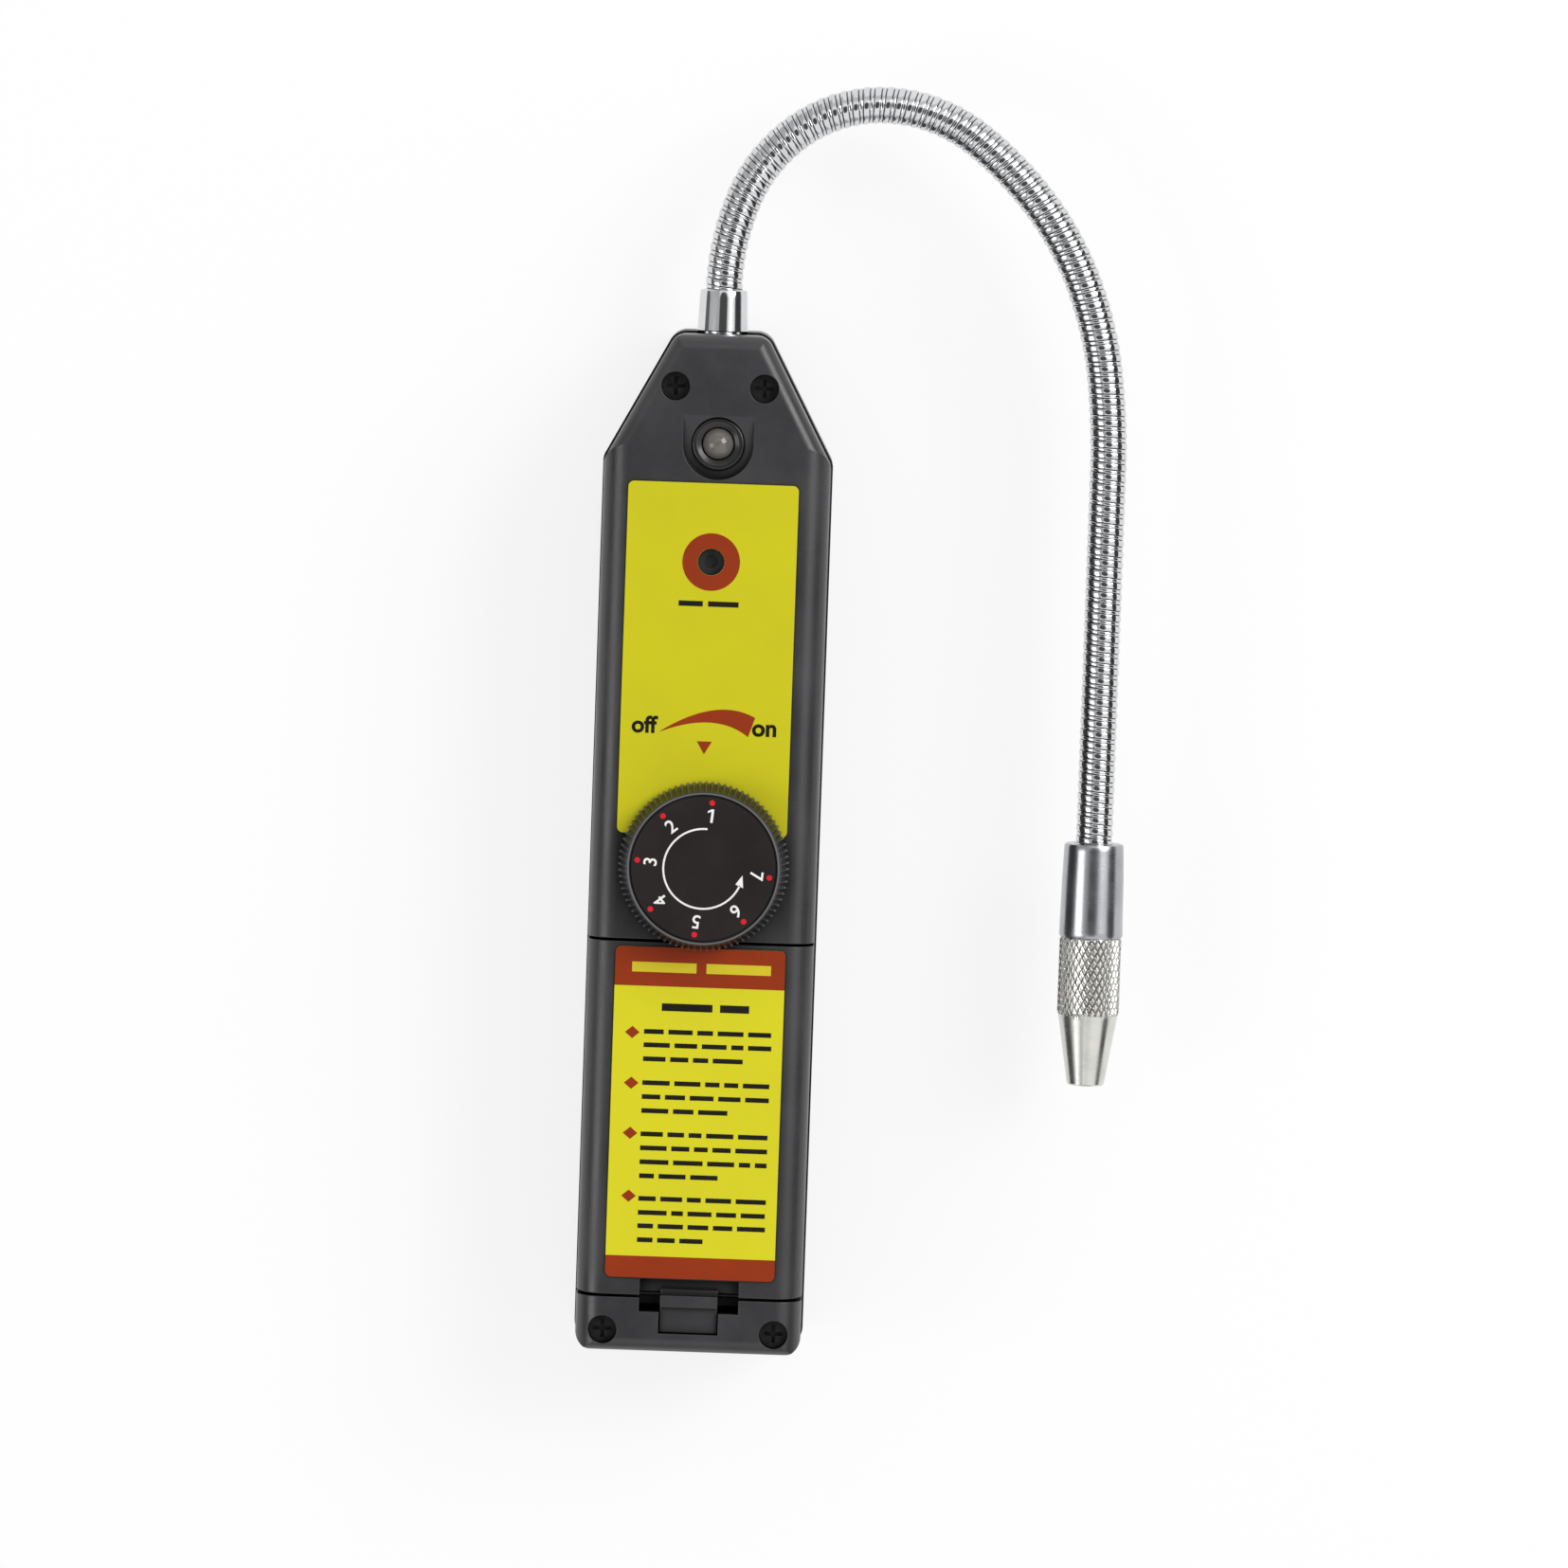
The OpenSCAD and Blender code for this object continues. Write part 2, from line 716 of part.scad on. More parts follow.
// Round wire wound into a cone, standing on the ground plane
module coil_spring(r_low, r_high, wire_r, h, turns) {
    steps = 14 * turns;
    sides = 6;
    rings = [
        for (i = [0:steps])
            let (turn = 360 * turns * i / steps, r = r_low + (r_high - r_low) * i / steps,
                 z = wire_r + (h - 2 * wire_r) * i / steps)
                [for (k = [0:sides - 1])
                    let (out = r + wire_r * cos(360 * k / sides))
                        [out * cos(turn), out * sin(turn), z + wire_r * sin(360 * k / sides)]]];
    walls = [
        for (i = [0:steps - 1], k = [0:sides - 1])
            let (a = i * sides + k, b = i * sides + (k + 1) % sides)
                each [[a, b, a + sides], [b, b + sides, a + sides]]];
    first = [for (k = [0:sides - 1]) sides - 1 - k];
    last = [for (k = [0:sides - 1]) steps * sides + k];
    polyhedron([for (ring = rings) each ring], concat(walls, [last, first]));
}

module contact_springs() {
    room = bay_l - cell_l - 2 * contact_t - 3 * fit;
    color("silver") {
        translate([-cell_x, bay_y0 + contact_t + fit, cell_z])
            rotate([-90, 0, 0]) coil_spring(spring_r, spring_top_r, spring_wire_r, room, spring_turns);
        translate([cell_x, bay_y1 - contact_t - fit, cell_z])
            rotate([90, 0, 0]) coil_spring(spring_r, spring_top_r, spring_wire_r, room, spring_turns);
    }
}

// Lays what is drawn along +Z along the housing's length, at the neck's height
module along_neck_base(y) {
    translate([0, y, parting_z]) rotate([-90, 0, 0]) children();
}

module neck_collar() {
    lip = 0.6;
    color("#c8cacc") along_neck_base(body_l) difference() {
        union() {
            rotate_extrude() polygon([
                [0, 0], [collar_d / 2, 0], [collar_top_d / 2, collar_l - lip],
                [collar_top_d / 2 - lip, collar_l], [0, collar_l]]);
            translate([0, 0, -wall - rim_step - neck_nut_h]) cylinder(d = spigot_d, h = wall + neck_nut_h + over);
        }
        translate([0, 0, collar_l - plug_l - over]) cylinder(d = plug_d + 2 * fit, h = body_l);
        translate([0, 0, -body_l / 2]) cylinder(d = plug_d / 2, h = body_l);
    }
}

module neck_nut() {
    color("#b4b6b8") along_neck_base(body_l - rim_step - wall - neck_nut_h)
        hex_nut(neck_nut_flat, spigot_d + 2 * fit, neck_nut_h);
}

// Places children at the start of group i, with +Y along the neck
module at_link(i) {
    translate(link_start(i)) rotate([0, 0, -heading(i)]) children();
}

// Places children at a distance along an arc of the given bend, with +Z along the neck
module at_turn(bend, s) {
    if (bend == 0) {
        translate([0, s, 0]) rotate([-90, 0, 0]) children();
    } else {
        r = arc_r(bend);
        translate([r, 0, 0]) rotate([0, 0, -bend * s / link_l]) translate([-r, 0, 0])
            rotate([-90, 0, 0]) children();
    }
}

// Round rod along part of an arc of the given bend
module rod(bend, s0, s1, r) {
    if (bend == 0) {
        translate([0, s0, 0]) rotate([-90, 0, 0]) cylinder(r = r, h = s1 - s0);
    } else {
        arc = arc_r(bend);
        turn = bend / link_l;
        translate([arc, 0, 0]) rotate([0, 0, 180 - turn * s1])
            rotate_extrude(angle = turn * (s1 - s0)) translate([arc, 0]) circle(r);
    }
}

// One turn of the winding: a flat crown with sloped flanks
module turn_ring() {
    flank = turn_pitch * 0.44;
    crown = turn_pitch * 0.2;
    foot = core_r + groove / 4;
    rotate_extrude() polygon([
        [0, -flank], [foot, -flank], [neck_r, -crown], [neck_r, crown], [foot, flank], [0, flank]]);
}

// Group i of the neck's turns, with a cup at its start and a pivot ball at its end
module neck_link(i) {
    bend = bend_angles[i];
    is_first = i == 0;
    is_last = i == links - 1;
    cup_r = ball_r + fit;
    room = neck_r + pivot_room;
    flank = turn_pitch * 0.44;
    start = is_first ? 0 : cup_r * 0.3;
    end = is_last ? link_l : link_l - sqrt(room * room - core_r * core_r);
    s_low = start + flank + fit;
    s_high = end - flank;
    count = floor((s_high - s_low) / turn_pitch);
    pitch = (s_high - s_low) / count;
    color("#c9ccd0") at_link(i) {
        difference() {
            union() {
                rod(bend, start, end, core_r);
                for (k = [0:count])
                    at_turn(bend, s_low + k * pitch) turn_ring();
                if (!is_first)
                    sphere(neck_r);
            }
            if (!is_first) {
                sphere(cup_r);
                translate([-neck_d, -2 * neck_d, -neck_d]) cube(2 * neck_d);
            }
        }
        if (is_first)
            translate([0, -plug_l, 0]) rotate([-90, 0, 0]) cylinder(d = plug_d, h = plug_l + over);
        if (is_last) {
            translate([0, link_l - over, 0]) rotate([-90, 0, 0]) cylinder(d = plug_d, h = plug_l + over);
        } else {
            rod(bend, end - over, link_l, waist_d / 2);
            at_turn(bend, link_l) sphere(ball_r);
        }
    }
}

// Places children at the free end of the neck, with +Z along the tip
module at_neck_end() {
    at_link(links) rotate([-90, 0, 0]) children();
}

module sensor_holder() {
    edge = 0.5;
    color("#b9bab8") at_neck_end() difference() {
        union() {
            rotate_extrude() polygon([
                [0, 0], [holder_d / 2 - edge, 0], [holder_d / 2, edge], [holder_end_d / 2, holder_l - edge],
                [holder_end_d / 2 - edge, holder_l], [0, holder_l]]);
            cylinder(d = tip_spigot_d, h = holder_l + tip_spigot_l);
        }
        translate([0, 0, -over]) cylinder(d = plug_d + 2 * fit, h = plug_l + over + fit);
        cylinder(d = plug_d / 2, h = holder_l);
        translate([0, 0, holder_l + tip_spigot_l - sensor_seat]) cylinder(d = sensor_d + 2 * fit, h = holder_l);
    }
}

// Ring of pointed diamonds between plain rims: a grid whose corners stand out and in by turns
module knurl_band(r, depth, l, count, rows) {
    cols = 2 * count;
    grid = [
        for (j = [0:rows], i = [0:cols - 1])
            let (out = (i + j) % 2 == 0 || j == 0 || j == rows ? r : r - depth, turn = 360 * i / cols)
                [out * cos(turn), out * sin(turn), l * j / rows]];
    sides = [
        for (j = [0:rows - 1], i = [0:cols - 1])
            let (a = j * cols + i, b = j * cols + (i + 1) % cols)
                each (i + j) % 2 == 0
                    ? [[a, b + cols, b], [a, a + cols, b + cols]]
                    : [[a, a + cols, b], [b, a + cols, b + cols]]];
    low = [for (i = [0:cols - 1]) i];
    high = [for (i = [0:cols - 1]) rows * cols + cols - 1 - i];
    polyhedron(grid, concat(sides, [low, high]));
}

module tip_cap() {
    edge = 0.4;
    end = holder_l + knurl_l + cone_l;
    skin = (cone_end_d - inlet_d) / 2;
    color("#c0c1bf") at_neck_end() difference() {
        union() {
            translate([0, 0, holder_l]) knurl_band(knurl_d / 2, knurl_depth, knurl_l, knurl_count, knurl_rows);
            rotate_extrude() polygon([
                [0, holder_l + knurl_l - over], [tip_bore_d / 2, holder_l + knurl_l - over],
                [tip_bore_d / 2 + edge, holder_l + knurl_l], [cone_d / 2, holder_l + knurl_l],
                [cone_end_d / 2, end - edge], [cone_end_d / 2 - edge, end], [0, end]]);
        }
        translate([0, 0, holder_l - over]) cylinder(d = tip_spigot_d + 2 * fit, h = tip_spigot_l + over + fit);
        rotate_extrude() polygon([
            [0, holder_l], [tip_bore_d / 2, holder_l], [tip_bore_d / 2, holder_l + knurl_l],
            [inlet_d / 2, end - skin], [inlet_d / 2, end + over], [0, end + over]]);
    }
}

module sensor_element() {
    low = holder_l + tip_spigot_l - sensor_seat + fit;
    color("#d8d4c8") at_neck_end() translate([0, 0, low]) {
        cylinder(d = sensor_d, h = sensor_l);
        cylinder(d = sensor_d / 3, h = sensor_l + 3);
    }
}

in_frame() front_housing();
in_frame() rear_housing();
in_frame() battery_cover();
in_frame() housing_screws();
in_frame() upper_label();
in_frame() cover_label();
in_frame() led_bezel();
in_frame() led_lens();
in_frame() sensitivity_knob();
in_frame() knob_dial();
in_frame() potentiometer();
in_frame() pot_shaft();
in_frame() pot_nut();
in_frame() main_board();
in_frame() board_screws();
in_frame() transformer();
in_frame() capacitor();
in_frame() buzzer();
in_frame() battery_cell_left();
in_frame() battery_cell_right();
in_frame() contact_bridge();
in_frame() contact_tabs();
in_frame() contact_springs();
in_frame() neck_collar();
in_frame() neck_nut();
in_frame() sensor_holder();
in_frame() tip_cap();
in_frame() sensor_element();
for (i = [0:links - 1])
    in_frame() neck_link(i);
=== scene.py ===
"""Dresses the leak detector: studio, finishes, prints, dial, lamp, gooseneck and sensor tip.

Sizes are in millimetres and angles in degrees unless a name or a comment says otherwise.
"""

import logging
import math
from dataclasses import dataclass, replace
from enum import Enum

import bmesh
import bpy
import numpy as np
from mathutils import Matrix, Vector


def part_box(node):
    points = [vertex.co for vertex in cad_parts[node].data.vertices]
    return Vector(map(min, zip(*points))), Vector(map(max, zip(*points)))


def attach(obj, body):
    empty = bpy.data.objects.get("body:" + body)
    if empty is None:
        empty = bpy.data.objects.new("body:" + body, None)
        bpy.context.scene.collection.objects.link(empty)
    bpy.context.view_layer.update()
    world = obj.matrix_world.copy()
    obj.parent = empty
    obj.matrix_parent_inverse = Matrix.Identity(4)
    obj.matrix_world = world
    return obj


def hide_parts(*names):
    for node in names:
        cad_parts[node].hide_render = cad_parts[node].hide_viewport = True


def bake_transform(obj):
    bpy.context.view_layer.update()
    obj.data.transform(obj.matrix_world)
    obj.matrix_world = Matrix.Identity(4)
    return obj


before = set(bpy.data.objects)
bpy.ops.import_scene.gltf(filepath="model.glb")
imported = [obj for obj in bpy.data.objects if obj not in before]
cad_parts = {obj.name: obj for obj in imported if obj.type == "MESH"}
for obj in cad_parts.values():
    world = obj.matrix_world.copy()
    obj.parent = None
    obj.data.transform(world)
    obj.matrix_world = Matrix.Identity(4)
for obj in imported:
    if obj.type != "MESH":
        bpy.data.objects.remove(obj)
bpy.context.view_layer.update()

LOG = logging.getLogger("leak_detector")
MM = 0.001
# Distance from the housing's bottom end to the frame's origin
ORIGIN_Y = 87.5
# Thickness by which printing ink stands on a label
INK = 0.03
# Distance in metres within which points are merged
WELD = 2e-7
# Way out of the front, and way along the housing towards the neck
UP = np.array([0.0, 0.0, 1.0])
AHEAD = np.array([0.0, 1.0, 0.0])
# Sockets of a Mix node that mixes colours: factor, first and second colour, and output
FACTOR, FIRST, SECOND, MIXED = 0, 6, 7, 2
# Power that deepens the painted shade in recesses
RECESS_POWER = 1.3

Shape = tuple[np.ndarray, list]
Pairs = tuple[tuple[float, float], ...]


def linear(code: str) -> tuple[float, float, float, float]:
    """Turns an sRGB hex colour into linear light.

    Args:
        code: Colour such as "#3b3b3d".

    Returns:
        Linear red, green, blue and an alpha of one.
    """
    srgb = np.array([int(code[i:i + 2], 16) for i in (1, 3, 5)]) / 255
    light = np.where(srgb <= 0.04045, srgb / 12.92, ((srgb + 0.055) / 1.055) ** 2.4)
    return (*map(float, light), 1.0)


def add_node(tree: bpy.types.NodeTree, kind: str, sockets: dict | None = None,
             **settings: object) -> bpy.types.Node:
    """Adds one shader node.

    Args:
        tree: Node tree that takes the node.
        kind: Type of the node, such as "ShaderNodeBump".
        sockets: Inputs by name or number, each a value or an output socket to link.
        settings: The node's own settings.

    Returns:
        The new node.
    """
    node = tree.nodes.new(kind)
    for key, value in settings.items():
        setattr(node, key, value)
    for key, value in (sockets or {}).items():
        if isinstance(value, bpy.types.NodeSocket):
            tree.links.new(value, node.inputs[key])
        else:
            node.inputs[key].default_value = value
    return node


def add_object(name: str, data: bpy.types.ID) -> bpy.types.Object:
    """Puts a mesh, curve, lamp or camera into the scene at the origin.

    Args:
        name: Name of the object.
        data: What it shows.

    Returns:
        The new object.
    """
    obj = bpy.data.objects.new(name, data)
    bpy.context.scene.collection.objects.link(obj)
    return obj


class Grain(Enum):
    """How a surface was made, as the stretch of its pattern along X, Y and Z.

    A moulded, cast or plated surface is even.
    """

    EVEN = (1.0, 1.0, 1.0)
    PRINTED = (1.0, 0.35, 1.0)
    TURNED = (0.06, 1.0, 0.06)
    SPUN = (0.3, 0.3, 1.0)
    WOUND = (0.1, 0.1, 1.0)
    WOVEN = (1.0, 1.0, 0.2)


@dataclass(frozen=True)
class Finish:
    """One real material with the marks of how its surface was made.

    Attributes:
        name: Name of the real material.
        colour: Main colour as sRGB hex.
        tint: Second colour that the mottling fades to.
        rough: Lowest and highest roughness.
        grain: How the surface was made.
        grain_mm: Size of the grain.
        relief_mm: Height of the grain.
        mottle_mm: Size of the slow changes in colour and gloss.
        metallic: One for bare metal.
        clear: Share of light that passes through.
        coat: Weight of a clear top coat.
        edge_mm: Radius by which moulded edges catch the light.
        recess_mm: Reach over which painted shade darkens recesses.
        gloss: Strength of the surface reflection.
        soil: Colour of the painted shade in the grooves of pieces that carry an attribute of that name.
    """

    name: str
    colour: str
    tint: str
    rough: tuple[float, float]
    grain: Grain
    grain_mm: float
    relief_mm: float
    mottle_mm: float = 9.0
    metallic: float = 0.0
    clear: float = 0.0
    coat: float = 0.0
    edge_mm: float = 0.0
    recess_mm: float = 0.0
    gloss: float = 0.5
    soil: str = "#000000"

    def material(self) -> bpy.types.Material:
        """Builds the material once and finds it again later.

        Object coordinates run through a stretched grain noise into the bump, and through a
        slow noise into colour and roughness. A point attribute on a piece paints shade into its
        grooves, and the share of open sky raised to a power paints shade into recesses.

        Returns:
            The node material.
        """
        made = bpy.data.materials.get(self.name)
        if made:
            return made
        made = bpy.data.materials.new(self.name)
        made.use_nodes = True
        tree = made.node_tree
        tree.nodes.clear()
        place = add_node(tree, "ShaderNodeTexCoord").outputs["Object"]
        lay = add_node(tree, "ShaderNodeMapping", {"Vector": place, "Scale": self.grain.value})
        grain = add_node(tree, "ShaderNodeTexNoise", {
            "Vector": lay.outputs["Vector"], "Scale": 1 / (self.grain_mm * MM),
            "Detail": 3.0, "Roughness": 0.6})
        slow = add_node(tree, "ShaderNodeTexNoise", {
            "Vector": place, "Scale": 1 / (self.mottle_mm * MM), "Detail": 4.0, "Roughness": 0.55})
        share = add_node(tree, "ShaderNodeMapRange", {
            "Value": slow.outputs["Fac"], "From Min": 0.32, "From Max": 0.68})
        colour = add_node(tree, "ShaderNodeMix", {
            FACTOR: share.outputs["Result"], FIRST: linear(self.colour), SECOND: linear(self.tint)},
            data_type="RGBA").outputs[MIXED]
        # Painted shade in grooves: a point attribute of the piece mixes the colour towards the shade colour.
        soil = add_node(tree, "ShaderNodeAttribute", attribute_name="soil").outputs["Fac"]
        colour_with_painted_shade = add_node(tree, "ShaderNodeMix", {
            FACTOR: soil, FIRST: colour, SECOND: linear(self.soil)}, data_type="RGBA").outputs[MIXED]
        blend = add_node(tree, "ShaderNodeMath", {0: grain.outputs["Fac"], 1: share.outputs["Result"]})
        rough = add_node(tree, "ShaderNodeMapRange", {
            "Value": blend.outputs["Value"], "From Min": 0.3, "From Max": 1.5,
            "To Min": self.rough[0], "To Max": self.rough[1]})
        bump = add_node(tree, "ShaderNodeBump", {
            "Height": grain.outputs["Fac"], "Distance": self.relief_mm * MM})
        if self.edge_mm:
            edge = add_node(tree, "ShaderNodeBevel", {"Radius": self.edge_mm * MM}, samples=6)
            tree.links.new(edge.outputs["Normal"], bump.inputs["Normal"])
        shader = add_node(tree, "ShaderNodeBsdfPrincipled", {
            "Base Color": colour_with_painted_shade, "Roughness": rough.outputs["Result"], "Normal": bump.outputs["Normal"],
            "Metallic": self.metallic, "Transmission Weight": self.clear, "Coat Weight": self.coat,
            "Specular IOR Level": self.gloss})
        # Painted shade in recesses: the share of open sky darkens the colour and the reflection's strength.
        if self.recess_mm:
            near = add_node(tree, "ShaderNodeAmbientOcclusion", {"Distance": self.recess_mm * MM}, samples=5)
            sky = add_node(tree, "ShaderNodeMath", {
                0: near.outputs["AO"], 1: RECESS_POWER}, operation="POWER").outputs["Value"]
            painted_recess_shade = add_node(tree, "ShaderNodeMix", {
                FACTOR: sky, FIRST: linear("#000000"), SECOND: colour_with_painted_shade}, data_type="RGBA")
            shine = add_node(tree, "ShaderNodeMath", {0: sky, 1: self.gloss}, operation="MULTIPLY")
            tree.links.new(painted_recess_shade.outputs[MIXED], shader.inputs["Base Color"])
            tree.links.new(shine.outputs["Value"], shader.inputs["Specular IOR Level"])
        add_node(tree, "ShaderNodeOutputMaterial", {"Surface": shader.outputs["BSDF"]})
        return made

    def dress(self, *nodes: str) -> list[bpy.types.Object]:
        """Gives CAD nodes this finish.

        Args:
            nodes: Names of the nodes.

        Returns:
            Their objects.
        """
        objects = [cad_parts[name] for name in nodes]
        for obj in objects:
            obj.data.materials.clear()
            obj.data.materials.append(self.material())
        return objects


# Moulded ABS: a fine eroded texture, dull grey where the light rakes over it. The real grit is
# about 0.1 mm and is drawn coarser so that it shows.
ABS = Finish("moulded_abs", "#2e2e30", "#363638", (0.27, 0.4), Grain.EVEN, 0.7, 0.012, 14.0,
             edge_mm=0.25, recess_mm=4.5)
# Moulded nylon: the lamp's ring is a shade darker, with a soft gloss on its edges.
NYLON = Finish("moulded_nylon", "#1d1c1d", "#272527", (0.2, 0.34), Grain.EVEN, 0.6, 0.01, 6.0,
               edge_mm=0.12, recess_mm=2.0)
# Nylon grip: the light grey colour is a painted highlight on the crests of the grip and the rim's
# top edge, and the grooves take a near black painted shade.
GRIP = Finish("nylon_with_painted_highlights", "#7c7c7f", "#717174", (0.3, 0.45), Grain.EVEN, 0.6, 0.008, 6.0,
              gloss=0.3, soil="#1a191a")
# Printed polyester foil: even yellow under a thin satin varnish, with faint print streaks. The
# cover's copy of the same foil is painted a shade lighter, as painted light for the brighter light there.
FOIL = Finish("printed_polyester_foil", "#c9c315", "#c4bd14", (0.3, 0.42), Grain.PRINTED, 0.8, 0.003, 18.0,
              gloss=0.25)
COVER_FOIL = replace(FOIL, name="printed_polyester_cover", colour="#d5cf1e", tint="#d0c91c")
# Screen-printing inks: flat and slightly raised, duller than the foil.
RED_INK = Finish("red_brown_ink", "#93330e", "#8b2f0c", (0.4, 0.5), Grain.PRINTED, 0.5, 0.002, 8.0,
                 gloss=0.16)
YELLOW_INK = replace(RED_INK, name="yellow_ink", colour="#d2c02a", tint="#cbb926")
DOT_INK = replace(RED_INK, name="signal_red_ink", colour="#da1f2a", tint="#d01a25", mottle_mm=4.0)
BLACK_INK = replace(RED_INK, name="black_ink", colour="#15120a", tint="#1b180f", rough=(0.4, 0.52),
                    mottle_mm=6.0)
WHITE_INK = replace(BLACK_INK, name="white_ink", colour="#efeeea", tint="#e6e5e1", rough=(0.42, 0.52))
# Printed polycarbonate disc: near black with a silky sheen.
DISC = Finish("printed_polycarbonate", "#201a1a", "#251e1e", (0.34, 0.44), Grain.PRINTED, 0.6, 0.002, 10.0,
              gloss=0.25)
# Chromium plating: mirror bright with the slightest haze, and a grey painted shade in the grooves.
CHROME = Finish("chromium_plate", "#dedfe1", "#d2d3d5", (0.05, 0.12), Grain.EVEN, 0.5, 0.001, 5.0,
                metallic=1.0, soil="#5a5856")
# Turned nickel-plated brass: fine tool lines round the axis draw the highlights out along it.
# A grey painted shade lies in the knurl's grooves.
NICKEL = Finish("turned_nickel_plate", "#e0dfda", "#d2d2cd", (0.16, 0.3), Grain.TURNED, 0.16, 0.004, 6.0,
                metallic=1.0, soil="#5e5a53")
# Polished nickel plate: a shade darker and bluer than the turned cap, with long soft streaks.
BRIGHT_NICKEL = Finish("polished_nickel_plate", "#b5b7bb", "#a8aaaf", (0.18, 0.3), Grain.TURNED, 0.16, 0.003,
                       6.0, metallic=1.0)
# Black oxide on steel: oily dark metal down in the wells.
BLACK_STEEL = Finish("black_oxide_steel", "#1b1b1d", "#262628", (0.35, 0.55), Grain.SPUN, 0.4, 0.006, 2.0,
                     metallic=0.6)
# Cast diffusing epoxy: milky grey, lit a little from within, glossy from its mould.
EPOXY = Finish("cast_epoxy", "#7b7671", "#726d68", (0.06, 0.12), Grain.EVEN, 1.5, 0.001, 4.0, clear=0.3)
# Nickel-plated steel of contacts, nuts and shaft: dull bright with draw marks.
PLATED_STEEL = Finish("nickel_plated_steel", "#b6b8ba", "#a4a6a9", (0.24, 0.4), Grain.SPUN, 0.3, 0.003, 3.0,
                      metallic=1.0)
# Solder-masked glass laminate: green gloss with the weave just showing.
LAMINATE = Finish("solder_masked_laminate", "#2c6a3b", "#255a33", (0.25, 0.42), Grain.WOVEN, 0.45, 0.006, 7.0,
                  coat=0.3)
# Wound enamelled copper under amber tape: close turns.
WINDING = Finish("taped_copper_winding", "#c39a35", "#a9812a", (0.3, 0.5), Grain.WOUND, 0.35, 0.03, 4.0,
                 coat=0.2)
# Shrink sleeves: thin glossy plastic over a can.
BLUE_SLEEVE = Finish("blue_shrink_sleeve", "#27406e", "#203659", (0.24, 0.36), Grain.WOUND, 0.8, 0.006, 5.0,
                     coat=0.3)
CELL_SLEEVE = Finish("cell_shrink_sleeve", "#3d6ea5", "#35608f", (0.24, 0.36), Grain.TURNED, 0.8, 0.004, 9.0,
                     coat=0.3)
# Phenolic case: dull black with moulding speckle.
PHENOLIC = Finish("phenolic_case", "#232325", "#2e2e30", (0.42, 0.58), Grain.EVEN, 0.5, 0.01, 4.0)
# Fired alumina: chalky off-white body.
ALUMINA = Finish("fired_alumina", "#dcd8cd", "#cfcabd", (0.5, 0.66), Grain.EVEN, 0.3, 0.008, 3.0)


def loft(points: np.ndarray, ring: bool = False, shift: int = 0) -> Shape:
    """Closes a grid of points into a solid skin.

    Row i, column j joins its four neighbours. Columns always join round; rows join round in a
    ring, and otherwise the first and last row are capped. On a wound skin the last column meets
    the first one some rows further on, and rows past the end count as the last one.

    Args:
        points: Grid of shape rows, columns, 3, in millimetres.
        ring: Whether the last row meets the first.
        shift: Rows by which the seam steps.

    Returns:
        Points as a flat list and faces.
    """
    rows, cols = points.shape[:2]
    i = np.arange(rows if ring else rows - 1)[:, None]
    j = np.arange(cols)[None, :]
    below, along = (i + 1) % rows, (j + 1) % cols
    step = np.where(along == 0, shift, 0)
    near, far = np.minimum(i + step, rows - 1), np.minimum(below + step, rows - 1)
    quads = np.stack([i * cols + j, near * cols + along, far * cols + along, below * cols + j], axis=-1)
    faces = quads.reshape(-1, 4).tolist()
    if not ring:
        faces += [list(range(cols))[::-1], list(range((rows - 1) * cols, rows * cols))]
    return points.reshape(-1, 3), faces


def join(shapes: list[Shape]) -> Shape:
    """Puts several shapes into one.

    Args:
        shapes: Points and faces of each.

    Returns:
        All points and the renumbered faces.
    """
    starts = np.cumsum([0] + [len(points) for points, _ in shapes])
    faces = [[start + k for k in face] for start, (_, part) in zip(starts, shapes) for face in part]
    return np.concatenate([points for points, _ in shapes]), faces


def strip(lower: np.ndarray, upper: np.ndarray, low: float, high: float) -> Shape:
    """Field between two plane curves, raised from one height to another.

    A four-sided loop, low and high on either curve, is carried along both curves together.

    Args:
        lower: Points of one curve, shape n, 2.
        upper: Points of the other curve, shape n, 2.
        low: Height of the underside.
        high: Height of the top.

    Returns:
        Closed shape.
    """
    loop = np.stack([lower, upper, upper, lower], axis=1)
    heights = np.broadcast_to(np.array([low, low, high, high])[None, :, None], (len(lower), 4, 1))
    return loft(np.concatenate([loop, heights], axis=2))


def slab(x0: float, x1: float, y0: float, y1: float, low: float, high: float) -> Shape:
    """Rectangular field, as a strip between its two long sides."""
    across = np.array([x0, x1])
    return strip(np.stack([across, [y0, y0]], axis=1), np.stack([across, [y1, y1]], axis=1), low, high)


def turned(profile: np.ndarray, cols: int, start: np.ndarray, along: np.ndarray,
           relief: np.ndarray | float = 0.0, ring: bool = False) -> Shape:
    """Solid of revolution: each profile point (r, h) is swept round an axis.

    A point is start + h * along + (r - relief) * (side * cos + other * sin), where side and
    other span the plane across the axis.

    Args:
        profile: Radius and height pairs, shape n, 2.
        cols: Points round the axis.
        start: Point where height is zero.
        along: Unit vector of the axis.
        relief: Depth taken from the radius, shape n, cols.
        ring: Whether the profile is a closed loop clear of the axis.

    Returns:
        Closed shape.
    """
    side = np.cross(along, UP) if abs(along[2]) < 0.9 else np.array([1.0, 0.0, 0.0])
    other = np.cross(along, side)
    turn = np.linspace(0, 2 * np.pi, cols, endpoint=False)
    out = np.cos(turn)[:, None] * side + np.sin(turn)[:, None] * other
    radius = profile[:, :1] - relief * np.ones((1, cols))
    points = start + profile[:, 1, None, None] * along + radius[:, :, None] * out
    return loft(points, ring)


